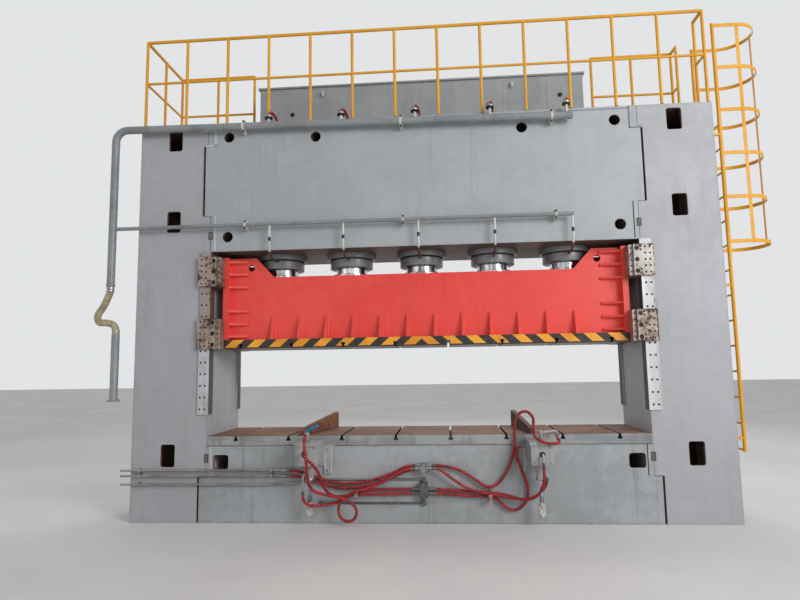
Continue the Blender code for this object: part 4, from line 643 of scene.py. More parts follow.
def travelled(path: np.ndarray) -> np.ndarray:
    """Way along a path from its start to each of its points."""
    return np.concatenate([[0.0], np.cumsum(np.linalg.norm(np.diff(path, axis=0), axis=1))])


def along(path: np.ndarray, ways: np.ndarray) -> np.ndarray:
    """Points of a path at the given ways from its start.

    Args:
        path: Points of the path.
        ways: Ways along it.

    Returns:
        One row for each way.
    """
    gone = travelled(path)
    return np.stack([np.interp(ways, gone, path[:, axis]) for axis in range(3)], 1)


def even(path: np.ndarray, step: float) -> np.ndarray:
    """Cuts a path into even steps.

    Args:
        path: Corners, one row each.
        step: Wanted length of a step.

    Returns:
        The points, ends included.
    """
    whole = travelled(path)[-1]
    return along(path, np.linspace(0.0, whole, max(2, int(round(whole / step)) + 1)))


def swept(rings: np.ndarray, uv: np.ndarray | None = None, closed: bool = False) -> Shape:
    """Joins rings of points into a closed shell.

    Args:
        rings: Points by ring, by side and by coordinate.
        uv: One row for each point, if any.
        closed: Whether the last ring joins the first; if not, both ends are flat faces.

    Returns:
        The shape.
    """
    count, sides = rings.shape[:2]
    here = np.arange(count * sides).reshape(count, sides)
    corners = [here, np.roll(here, -1, 1), np.roll(here, (-1, -1), (0, 1)), np.roll(here, -1, 0)]
    walls = np.stack(corners, -1)[: count if closed else count - 1].reshape(-1, 4)
    ends = [] if closed else [here[:1, ::-1], here[-1:]]
    return Shape(rings.reshape(-1, 3), [walls, *ends], uv)


def rings_along(path: np.ndarray, section: np.ndarray) -> np.ndarray:
    """Rings of a section carried along a path from ring to ring without twist.

    A point (a, b) of the section becomes p + a n + b m at the path's point p, with n and
    m the two directions across the path there.

    Args:
        path: Points of the path.
        section: Points of the section, for every ring alike or ring by ring.

    Returns:
        Points by ring, by side and by coordinate.
    """
    step = np.gradient(path, axis=0)
    tangent = step / np.linalg.norm(step, axis=1, keepdims=True)
    start = np.array((0.0, 1.0, 0.0) if abs(tangent[0][2]) > 0.9 else (0.0, 0.0, 1.0))
    across = np.empty_like(tangent)
    for ring, ahead in enumerate(tangent):
        start = start - (start @ ahead) * ahead
        start = start / np.linalg.norm(start)
        across[ring] = start
    over = np.cross(tangent, across)
    return path[:, None] + section[..., :1] * across[:, None] + section[..., 1:] * over[:, None]


def tube(
    path: Sequence[Point] | np.ndarray,
    radius: float | np.ndarray,
    sides: int = 16,
    turns: float = 0.0,
    bore: float = 0.0,
) -> Shape:
    """A round bar along a path, closed by flat ends or by the wall of its bore.

    The ring at a path point is the circle (r cos a, r sin a) across the path.

    Args:
        path: Points of the path.
        radius: Radius of every ring, or one for each point, or a grid of point by side.
        sides: Points round a ring.
        turns: Spiral turns per metre, kept in the UV map as length times turns.
        bore: Radius of an open bore as a share of the radius.

    Returns:
        The closed shape, with turns along in u and part of a turn in v.
    """
    path = np.asarray(path, float)
    size = np.asarray(radius, float)
    size = np.broadcast_to(size.reshape(-1, 1) if size.ndim < 2 else size, (len(path), sides))
    section = size[:, :, None] * np.stack([np.cos(angles(sides)), np.sin(angles(sides))], 1)
    rings = rings_along(path, section)
    if bore:
        return swept(np.concatenate([rings, rings_along(path, bore * section)[::-1]]), closed=True)
    round_part = np.tile(np.arange(sides) / sides, len(path))
    return swept(rings, np.stack([np.repeat(travelled(path) * turns, sides), round_part], 1))


def turned(profile: Sequence[Pair], sides: int = 48, centre: Point = (0.0, 0.0, 0.0)) -> Shape:
    """A profile of radius and height turned about Z; a point is (r cos a, r sin a, z).

    Args:
        profile: Radius and height from the bottom to the top, first and last closed flat.
        sides: Points round a ring.
        centre: Place of the axis.

    Returns:
        The closed shape.
    """
    radius, height = np.asarray(profile, float).T[:, :, None]
    turn = angles(sides)
    parts = [radius * np.cos(turn), radius * np.sin(turn), height + 0 * turn]
    return swept(np.stack(parts, -1) + np.array(centre))


def block(low: Sequence[float], high: Sequence[float], bevel: float = 0.002) -> Shape:
    """A box with its edges and corners cut off.

    Each of the six faces is a rectangle drawn in by the bevel from its neighbours; a
    strip joins two faces along each edge and a triangle closes each corner.

    Args:
        low: Lowest corner.
        high: Highest corner.
        bevel: Width cut off each edge along a face.

    Returns:
        The closed shape of 24 points.
    """
    low, high = np.asarray(low, float), np.asarray(high, float)
    signs = np.array(list(product((-1, 1), repeat=3)), float)
    half, middle = (high - low) / 2, (high + low) / 2
    pulled = half - np.minimum(bevel, half * 0.9) * (1 - np.eye(3))
    points = (middle + signs[:, None] * pulled[None]).reshape(-1, 3)
    quads = []
    for axis in range(3):
        one, two = (axis + 1) % 3, (axis + 2) % 3
        own, first, second = (3 * 2 ** (2 - a) for a in (axis, one, two))
        for side in (0, own):
            quads.append([side + a * first + b * second + axis for a, b in ((0, 0), (1, 0), (1, 1), (0, 1))])
        for a, b in product((0, first), (0, second)):
            quads.append([a + b + one, a + b + own + one, a + b + own + two, a + b + two])
    return Shape(points, [np.array(quads), np.arange(24).reshape(8, 3)])


def bolt(radius: float, height: float) -> Shape:
    """A hexagon head with its top edge cut off on a round washer, its foot at 0 on Z.

    Args:
        radius: Head's radius over the corners.
        height: Height of the head over the washer.

    Returns:
        The shape.
    """
    low = radius * 0.22
    washer = turned([(radius * 1.25, -0.002), (radius * 1.25, low)], 12)
    head = turned([(radius, low - 0.001), (radius, low + height * 0.85), (radius * 0.86, low + height)], 6)
    return Shape.together([washer, head])


def cap_screw(radius: float, height: float) -> Shape:
    """A round socket-head screw on Z: a turned head with a six-sided socket.

    Args:
        radius: Head's radius.
        height: Height over its foot at 0.

    Returns:
        The shape.
    """
    head = turned([(radius, -0.002), (radius, height * 0.9), (radius * 0.9, height)], 12)
    socket = turned([(radius * 0.5, height - 0.001), (radius * 0.5, height + 0.0004)], 6)
    return Shape.together([head, socket])


def seam(path: Sequence[Point], width: float, pitch: float = 0.012) -> Shape:
    """A weld seam: a bar whose radius is w on every even ring and 1.12 w on every odd one.

    Args:
        path: Corners of the seam's line, cut into steps of half a pitch.
        width: Radius of the seam.
        pitch: Length of a ripple.

    Returns:
        The closed shape.
    """
    line = even(np.asarray(path, float), pitch / 2)
    return tube(line, width * (1 + 0.12 * (np.arange(len(line)) % 2)), 6)


def rounded_path(corners: Sequence[Point], radius: float, steps: int = 8) -> np.ndarray:
    """A path whose corners are rounded.

    A corner at c between points a and b becomes the curve (1 - t)^2 p + 2 t (1 - t) c
    + t^2 q, with p and q on the two legs at the rounding's reach from c.

    Args:
        corners: The corners, first and last kept.
        radius: Reach of the rounding along each leg.
        steps: Steps on each curve.

    Returns:
        The points of the path.
    """
    spots = [np.array(corner, float) for corner in corners]
    t = np.linspace(0.0, 1.0, steps + 1)[:, None]
    parts = [spots[0][None]]
    for before, here, after in zip(spots, spots[1:], spots[2:]):
        legs = [(leg, np.linalg.norm(leg)) for leg in (before - here, after - here)]
        reach = min(radius, *(0.49 * size for _, size in legs))
        p, q = (here + leg / size * reach for leg, size in legs)
        parts.append((1 - t) ** 2 * p + 2 * t * (1 - t) * here + t ** 2 * q)
    return np.concatenate([*parts, spots[-1][None]])


def smooth_route(knots: Sequence[Point], step: float) -> np.ndarray:
    """A straight lead at each end and even points on a smooth curve between them.

    Between two knots the curve is the cubic through both whose slope at a knot is half
    the way from the knot before to the knot after.

    Args:
        knots: The route's knots; the first and the last two are straight leads.
        step: Wanted distance between points.

    Returns:
        The points of the route.
    """
    knots = np.asarray(knots, float)
    before, here, there, after = (part[:, None] for part in (knots[:-3], knots[1:-2], knots[2:-1], knots[3:]))
    t = np.arange(1, 13)[None, :, None] / 12
    bend = 2 * here + (there - before) * t
    bend = bend + (2 * before - 5 * here + 4 * there - after) * t ** 2
    bend = bend + (3 * here - before - 3 * there + after) * t ** 3
    fine = np.concatenate([knots[1:2], (bend / 2).reshape(-1, 3)])
    return np.concatenate([knots[:1], even(fine, step), knots[-1:]])


@dataclass
class Maker:
    """Turns shapes and CAD nodes into finished pieces that ride on their bodies."""

    count: int = 0
    triangles: int = 0

    @staticmethod
    def placed(name: str, data: bpy.types.ID) -> bpy.types.Object:
        """Puts a mesh, a camera or a lamp into the scene, at the origin.

        Args:
            name: The object's name.
            data: What it shows.

        Returns:
            The object.
        """
        item = bpy.data.objects.new(name, data)
        bpy.context.scene.collection.objects.link(item)
        return item

    @classmethod
    def solid(cls, name: str, shape: Shape) -> bpy.types.Object:
        """Makes a mesh object with outward faces and, if the shape has it, a UV map.

        Where a face crosses from the last side of a ring to the first, v goes on by 1.

        Args:
            name: The object's name.
            shape: The shape.

        Returns:
            The object.
        """
        mesh = bpy.data.meshes.new(name)
        mesh.from_pydata(shape.points.tolist(), [], [tuple(f) for group in shape.faces for f in group.tolist()])
        if shape.uv is not None:
            loops = np.empty(len(mesh.loops), np.int64)
            mesh.loops.foreach_get("vertex_index", loops)
            sizes = np.empty(len(mesh.polygons), np.int64)
            mesh.polygons.foreach_get("loop_total", sizes)
            uv = shape.uv[loops]
            owner = np.repeat(np.arange(len(sizes)), sizes)
            highest = np.zeros(len(sizes))
            np.maximum.at(highest, owner, uv[:, 1])
            uv[(sizes[owner] == 4) & (highest[owner] > 0.5) & (uv[:, 1] < 0.25), 1] += 1.0
            mesh.uv_layers.new(name="UVMap").data.foreach_set("uv", uv.ravel())
        build = bmesh.new()
        build.from_mesh(mesh)
        bmesh.ops.recalc_face_normals(build, faces=build.faces)
        build.to_mesh(mesh)
        build.free()
        return cls.placed(name, mesh)

    def piece(
        self,
        name: str,
        shape: Shape | Iterable[Shape],
        finish: Finish,
        body: Body = Body.FRAME,
        smooth: bool = True,
        replaces: Sequence[str] = (),
        span: Span | None = None,
    ) -> bpy.types.Object:
        """Makes a piece of shapes or of an object, seats it on its body and hides the CAD nodes that it stands for.

        Args:
            name: The piece's name.
            shape: One shape, several, or an object that is ready.
            finish: What it is coated with.
            body: The body it rides on.
            smooth: Whether faces under 35 degrees shade as one.
            replaces: CAD nodes that it stands for.
            span: Box whose edges the finish wears.

        Returns:
            The object.
        """
        item = shape
        if not isinstance(shape, bpy.types.Object):
            item = self.solid(name, shape if isinstance(shape, Shape) else Shape.together(shape))
        item.data.materials.clear()
        item.data.materials.append(finish.material(span))
        if smooth:
            item.data.shade_smooth()
            item.data.set_sharp_from_angle(angle=math.radians(35))
        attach(item, body.value)
        if replaces:
            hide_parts(*replaces)
        self.count += 1
        self.triangles += sum(len(face.vertices) - 2 for face in item.data.polygons)
        return item

    def dressed(
        self,
        node: str,
        finish: Finish,
        body: Body = Body.FRAME,
        bevel: float = 0.004,
        cutters: Sequence[Shape] = (),
        span: Span | None = None,
    ) -> bpy.types.Object:
        """A copy of a CAD node with its edges cut off, its holes drilled and its finish on.

        Args:
            node: The CAD node.
            finish: What it is coated with.
            body: The body it rides on.
            bevel: Width cut off the edges.
            cutters: Closed shapes that are cut out of it.
            span: Box whose edges the finish wears, where it isn't the node's own.

        Returns:
            The object.
        """
        build = bmesh.new()
        build.from_mesh(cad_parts[node].data)
        bmesh.ops.remove_doubles(build, verts=build.verts, dist=0.00005)
        flat = math.radians(0.6)
        bmesh.ops.dissolve_limit(build, angle_limit=flat, verts=build.verts, edges=build.edges)
        mesh = bpy.data.meshes.new("dressed_" + node)
        build.to_mesh(mesh)
        build.free()
        item = self.placed("dressed_" + node, mesh)
        if cutters:
            self.drill(item, Shape.together(cutters))
        tool = item.modifiers.new("edges", "BEVEL")
        tool.width, tool.segments, tool.limit_method = bevel, 2, "ANGLE"
        tool.angle_limit, tool.use_clamp_overlap, tool.harden_normals = math.radians(30), True, False
        low, high = (tuple(corner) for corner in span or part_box(node))
        return self.piece(item.name, item, finish, body, replaces=(node,), span=(low, high))

    @classmethod
    def drill(cls, item: bpy.types.Object, cutter: Shape) -> None:
        """Cuts a closed shape out of an object's mesh for good.

        Args:
            item: The object.
            cutter: The shape to take away.
        """
        other = cls.solid("cutter", cutter)
        tool = item.modifiers.new("holes", "BOOLEAN")
        tool.operation, tool.solver, tool.object = "DIFFERENCE", "EXACT", other
        graph = bpy.context.evaluated_depsgraph_get()
        result = bpy.data.meshes.new_from_object(item.evaluated_get(graph))
        item.modifiers.clear()
        item.data = result
        bpy.data.objects.remove(other)


MAKER = Maker()

# Its last colour paints shade on faces that look down; its inside colour turns pale deeper in as painted light.
FRAME_PAINT = Enamel(
    "frame_paint", "frame_paint", (170, 175, 178), (156, 160, 164), (116, 116, 114),
    Wear(0.6, 0.16, 0.4, 0.25, 0.4), 0.42, 0.4, (104, 88, 80), (124, 90, 84), (92, 80, 74),
)
UPRIGHT_PAINT = replace(FRAME_PAINT, name="upright_paint", colour=(171, 172, 176), worn=(158, 158, 162))
BED_PAINT = Enamel(
    "bed_paint", "frame_paint", (166, 170, 173), (144, 147, 149), (92, 88, 82),
    Wear(0.8, 0.40, 0.5, 0.3, 0.8), 0.46, 0.4, (98, 72, 58), (124, 90, 84),
)
TANK_PAINT = Enamel(
    "tank_paint", "frame_paint", (158, 161, 164), (142, 146, 150), (100, 102, 104),
    Wear(0.7, 0.3, 0.5, 0.2, 0.4), 0.42, 0.4,
)
SLIDE_PAINT = Enamel(
    "slide_paint", "slide_paint", (238, 78, 68), (226, 60, 51), (126, 34, 28),
    Wear(0.6, 0.20, 0.30, 0.06, 0.3), 0.30, under=(92, 44, 36),
)
RAILING_PAINT = Enamel(
    "railing_paint", "railing_paint", (228, 166, 44), (212, 146, 34), (160, 108, 42),
    Wear(0.6, 0.2, 0.10, 0.05, 0.6, 2.0), 0.46, 0.3, (126, 74, 40),
)
STATION_PAINT = Enamel(
    "station_paint", "station_paint", (170, 172, 170), (142, 143, 140), (82, 76, 70),
    Wear(0.8, 0.5, 0.5, 0.3, 0.9, 4.0), 0.44, 0.4, (110, 74, 54),
)
CYLINDER_PAINT = Enamel(
    "cylinder_paint", "cylinder_steel", (134, 136, 139), (108, 110, 112), (58, 56, 54),
    Wear(0.8, 0.5, 0.2, 0.3, 0.4, 3.0), 0.26, under=(84, 64, 54),
)
PIPE_PAINT = Enamel(
    "pipe_paint", "pipe_steel", (140, 143, 146), (114, 117, 120), (84, 80, 74),
    Wear(0.7, 0.3, 0.4, 0.7, 0.9, 3.0), 0.36, under=(176, 166, 150),
)
WHITE_PAINT = Enamel(
    "white_paint", "pipe_steel", (208, 208, 203), (176, 174, 168), (104, 94, 82),
    Wear(0.8, 0.5, 0.3, 0.2, 0.7, 5.0), 0.36, under=(96, 74, 60),
)
BLUE_PAINT = Enamel(
    "lever_paint", "station_paint", (30, 112, 150), (24, 90, 124), (30, 34, 44),
    Wear(0.5, 0.2, 0.2, 0.2, 0.6, 6.0), 0.34,
)
# Dark joints and keys, and bars that paint the shade on the right-hand ridges.
DARK_JOINT_AND_SHADE = Enamel(
    "joint_filler_and_shade", "frame_paint", (46, 45, 46), (34, 33, 34), (24, 22, 22),
    Wear(0.8, 0.2, 0.3, 0.1, 0.4, 5.0), 0.6, 0.2,
)
KEY_PAINT = Enamel(
    "key_paint", "frame_paint", (112, 114, 112), (84, 84, 82), (56, 54, 52),
    Wear(0.9, 0.5, 0.3, 0.3, 0.8, 9.0), 0.5, 0.3,
)
# Grey bars that paint shadow lines at the crown's right corner.
PAINTED_SHADOW_GREY = replace(KEY_PAINT, name="joint_grey", colour=(116, 124, 128), worn=(98, 106, 110))
# Pale bars that paint highlights on lit ridges and edges.
PAINTED_HIGHLIGHT = Enamel(
    "painted_highlight", "frame_paint", (212, 214, 213), (184, 187, 186), (120, 118, 112),
    Wear(0.8, 0.4, 0.2, 0.1, 0.9, 6.0), 0.5, under=(120, 112, 104),
)
GAP_PRIMER = Enamel(
    "gap_primer", "frame_paint", (146, 44, 40), (112, 38, 34), (60, 28, 26),
    Wear(0.9, 0.4, 0.2, 0.1, 0.6, 6.0), 0.6, 0.2,
)
WRAP = Enamel(
    "ram_wrap", "rod_chrome", (190, 188, 182), (140, 134, 128), (84, 76, 70),
    Wear(0.9, 0.6, 0.3, 0.2, 0.4, 7.0), 0.5,
)
FINE_GRAIN = (40.0, 40.0, 40.0)
RAIL_GRAIN = (140.0, 140.0, 1.6)
SHOE_GRAIN = (60.0, 60.0, 10.0)
BLACK_STEEL = Steel(
    "black_steel", "block_steel", (46, 46, 48), (28, 28, 30), 0.15, 0.42, grain_and_reflection_bands=(60.0, 60.0, 60.0), metal=0.6
)
ZINC = Steel("zinc_steel", "block_steel", (182, 184, 186), (128, 130, 132), 0.05, 0.30, 0.15, FINE_GRAIN)
CRIMP = Steel("crimped_steel", "block_steel", (132, 134, 136), (88, 90, 92), 0.1, 0.30, 0.3, FINE_GRAIN)
# Its dark tone, drawn out along the rod, paints reflection bands on the chrome.
CHROME = Steel(
    "rod_chrome", "rod_chrome", (236, 238, 240), (84, 86, 88), -0.3, 0.08, 0.02, (26.0, 26.0, 0.4)
)
# Its flank colour paints the shade on the rails' side faces.
BRIGHT_RAIL = Steel(
    "bright_rail", "rail_steel", (205, 206, 207), (183, 183, 183), 0.05, 0.52, 0.08, RAIL_GRAIN, 0.4,
    flank=(72, 72, 73),
)
BROWN_RAIL = Steel(
    "brown_rail", "rail_steel", (210, 212, 216), (172, 172, 174), 0.35, 0.40, 0.4, RAIL_GRAIN, 0.4,
    (134, 108, 94), (72, 66, 62), 2.1,
)
PALE_SHOE = Steel(
    "pale_shoe", "shoe_steel", (190, 184, 178), (150, 143, 136), 0.40, 0.44, 0.5, (90.0, 90.0, 6.0), 0.4
)
BROWN_SHOE = Steel(
    "brown_shoe", "shoe_steel", (182, 166, 156), (134, 118, 108), 0.60, 0.40, 0.75, SHOE_GRAIN, 0.6,
    (98, 62, 44),
)
PLAIN_PIPE = Steel(
    "plain_pipe", "pipe_steel", (170, 170, 168), (126, 124, 120), 0.25, 0.34, 0.3, (4.0, 60.0, 60.0)
)
BROWN_PIPE = Steel(
    "brown_pipe", "pipe_steel", (140, 118, 104), (98, 78, 68), 0.60, 0.40, 0.5, (30.0, 30.0, 30.0)
)
TABLE_PLATE = Corroded(
    "table_plate", "table_steel", (146, 98, 73), (90, 62, 48), (176, 136, 106), 0.55, (0.6, 1.0, 2.4),
    (160, 163, 165),
)
RUST = Corroded("rusty_bar", "rusty_steel", (140, 90, 66), (92, 64, 54), (206, 116, 64), 0.7)
OLD_RUST = Corroded("old_rusty_bar", "rusty_steel", (104, 74, 60), (62, 46, 40), (150, 116, 96), 0.2)
STRAP = Corroded("hanger_strap", "rusty_steel", (170, 160, 142), (120, 100, 82), (200, 190, 172), 0.5)
HAZARD = HazardEdge("hazard_edge", "hazard_paint")
# Both hoses carry pale specks on their bands as painted highlights.
HOSE = Winding("spiral_hose", "hose_rubber", (212, 42, 46), (50, 14, 18))
BEIGE_HOSE = Winding("suction_hose", "clear_hose", (196, 184, 152), (146, 132, 100), (226, 220, 200), 0.4, 0.34)

HOSE_ROUTES: dict[str, tuple[Point, ...]] = {
    "supply_hose_upper": (
        (-1.6447, -0.61, 0.625), (-1.61, -0.61, 0.625), (-1.46, -0.61, 0.603), (-1.28, -0.61, 0.545),
        (-1.08, -0.61, 0.487), (-0.866, -0.61, 0.47), (-0.63, -0.61, 0.505), (-0.39, -0.61, 0.58),
        (-0.23, -0.61, 0.652), (-0.1303, -0.61, 0.675), (-0.0953, -0.61, 0.675),
    ),
    "supply_hose_lower": (
        (-1.6447, -0.61, 0.56), (-1.61, -0.61, 0.56), (-1.46, -0.61, 0.543), (-1.28, -0.61, 0.49),
        (-1.08, -0.61, 0.433), (-0.866, -0.61, 0.42), (-0.63, -0.61, 0.455), (-0.39, -0.61, 0.53),
        (-0.23, -0.61, 0.602), (-0.1303, -0.61, 0.625), (-0.0953, -0.61, 0.625),
    ),
    "left_ram_hose": (
        (-1.4, -0.78, 0.4097), (-1.4, -0.78, 0.375), (-1.385, -0.8, 0.315), (-1.325, -0.82, 0.27),
        (-1.23, -0.79, 0.253), (-1.1, -0.7, 0.25), (-0.96, -0.63, 0.29), (-0.82, -0.61, 0.357),
        (-0.7, -0.61, 0.385), (-0.55, -0.61, 0.4), (-0.278, -0.61, 0.405), (-0.1303, -0.61, 0.405),
        (-0.0953, -0.61, 0.405),
    ),
    "left_box_hose": (
        (-1.345, -0.9753, 0.863), (-1.345, -1.01, 0.863), (-1.32, -1.045, 0.84), (-1.26, -1.045, 0.785),
        (-1.195, -1, 0.7), (-1.165, -0.91, 0.595), (-1.155, -0.8, 0.48), (-1.115, -0.71, 0.385),
        (-1.03, -0.668, 0.335), (-0.92, -0.655, 0.337), (-0.8, -0.652, 0.354), (-0.7, -0.648, 0.352),
        (-0.55, -0.628, 0.35), (-0.28, -0.61, 0.354), (-0.1303, -0.61, 0.355), (-0.0953, -0.61, 0.355),
    ),
    "left_post_hose": (
        (-1.3275, -0.9353, 1.07), (-1.3275, -0.97, 1.07), (-1.32, -1.045, 1.035), (-1.31, -1.09, 0.96),
        (-1.295, -1.103, 0.87), (-1.285, -1.09, 0.76), (-1.295, -1.02, 0.64), (-1.295, -0.93, 0.52),
        (-1.25, -0.86, 0.43), (-1.16, -0.8, 0.385), (-1.04, -0.785, 0.355), (-0.9, -0.778, 0.32),
        (-0.8, -0.765, 0.245), (-0.775, -0.755, 0.16), (-0.82, -0.745, 0.085), (-0.9, -0.735, 0.07),
        (-0.97, -0.728, 0.115), (-0.99, -0.725, 0.205), (-0.95, -0.727, 0.31), (-0.83, -0.73, 0.385),
        (-0.65, -0.725, 0.435), (-0.45, -0.705, 0.515), (-0.25, -0.672, 0.62), (-0.1303, -0.66, 0.65),
        (-0.0953, -0.66, 0.65),
    ),
    "right_post_hose": (
        (0.0953, -0.61, 0.675), (0.1303, -0.61, 0.675), (0.25, -0.61, 0.665), (0.424, -0.61, 0.618),
        (0.594, -0.61, 0.516), (0.73, -0.61, 0.433), (0.85, -0.61, 0.46), (0.95, -0.61, 0.58),
        (1.02, -0.61, 0.72), (1.06, -0.61, 0.88), (1.07, -0.61, 1.06), (1.085, -0.61, 1.18),
        (1.14, -0.61, 1.27), (1.225, -0.615, 1.285), (1.285, -0.64, 1.215), (1.275, -0.72, 1.12),
        (1.262, -0.85, 1.045), (1.285, -0.955, 1.01), (1.36, -1, 0.975), (1.45, -1, 0.965),
        (1.515, -0.955, 0.97), (1.53, -0.89, 0.985), (1.515, -0.86, 1.025), (1.515, -0.86, 1.0597),
    ),
    "right_box_hose": (
        (0.0953, -0.66, 0.65), (0.1303, -0.66, 0.65), (0.215, -0.66, 0.617), (0.363, -0.658, 0.51),
        (0.51, -0.655, 0.42), (0.704, -0.655, 0.368), (0.874, -0.662, 0.34), (1.04, -0.705, 0.318),
        (1.17, -0.79, 0.325), (1.27, -0.89, 0.39), (1.32, -0.96, 0.5), (1.335, -0.99, 0.62),
        (1.335, -0.995, 0.725), (1.335, -0.995, 0.7597),
    ),
    "right_ram_hose": (
        (0.0953, -0.61, 0.405), (0.1303, -0.61, 0.405), (0.3, -0.61, 0.395), (0.53, -0.61, 0.38),
        (0.765, -0.61, 0.364), (0.965, -0.618, 0.335), (1.1, -0.652, 0.303), (1.22, -0.665, 0.31),
        (1.32, -0.68, 0.365), (1.385, -0.705, 0.45), (1.405, -0.72, 0.52), (1.405, -0.72, 0.5547),
    ),
    "right_side_hose": (
        (0.0953, -0.61, 0.355), (0.1303, -0.61, 0.355), (0.3, -0.61, 0.346), (0.53, -0.61, 0.33),
        (0.765, -0.61, 0.32), (0.86, -0.61, 0.28), (0.935, -0.61, 0.205), (1.03, -0.606, 0.17),
        (1.13, -0.6, 0.205), (1.19, -0.597, 0.3), (1.2, -0.596, 0.42), (1.165, -0.598, 0.55),
        (1.12, -0.606, 0.67), (1.085, -0.625, 0.78), (1.09, -0.66, 0.865), (1.145, -0.68, 0.9),
        (1.1797, -0.68, 0.9),
    ),
}


@dataclass
class SpiralHoses:
    """The hydraulic hoses between the pipes, the port blocks and the side stations."""

    diameter: float = 0.034
    winding: float = 0.030
    groove: float = 0.08
    ferrule: float = 0.05
    sides: int = 20

    def build(self) -> None:
        """Builds and coats every hose in place of its CAD node, with a crimped ferrule at both ends.

        A hose's radius is R (1 - g s), with s 1 in the spiral gap and 0 on the band. A
        ferrule's radius dips in three grooves.
        """
        for name, knots in HOSE_ROUTES.items():
            route = smooth_route(knots, 0.006)
            gone = travelled(route)
            turn = (gone[:, None] / self.winding + np.arange(self.sides)[None] / self.sides) % 1.0
            gap = np.clip((np.abs(turn - 0.5) * 2 - 0.60) / 0.28, 0.0, 1.0)
            radius = self.diameter / 2 * (1 - self.groove * gap * gap * (3 - 2 * gap))
            hose = tube(route, radius, self.sides, 1 / self.winding)
            item = MAKER.piece(name + "_winding", hose, HOSE, replaces=(name,))
            dip = np.where((np.arange(15) % 4) == 2, 0.94, 1.0)
            dip[[0, -1]] = 0.95
            ends = [along(line, np.linspace(0.0, self.ferrule, 15)) for line in (route, route[::-1])]
            crimped = [tube(end, self.diameter / 2 * 1.05 * dip) for end in ends]
            sleeve = MAKER.piece(name + "_ferrules", crimped, CRIMP)
            LOG.info("hose %s %.2f m", name, gone[-1])


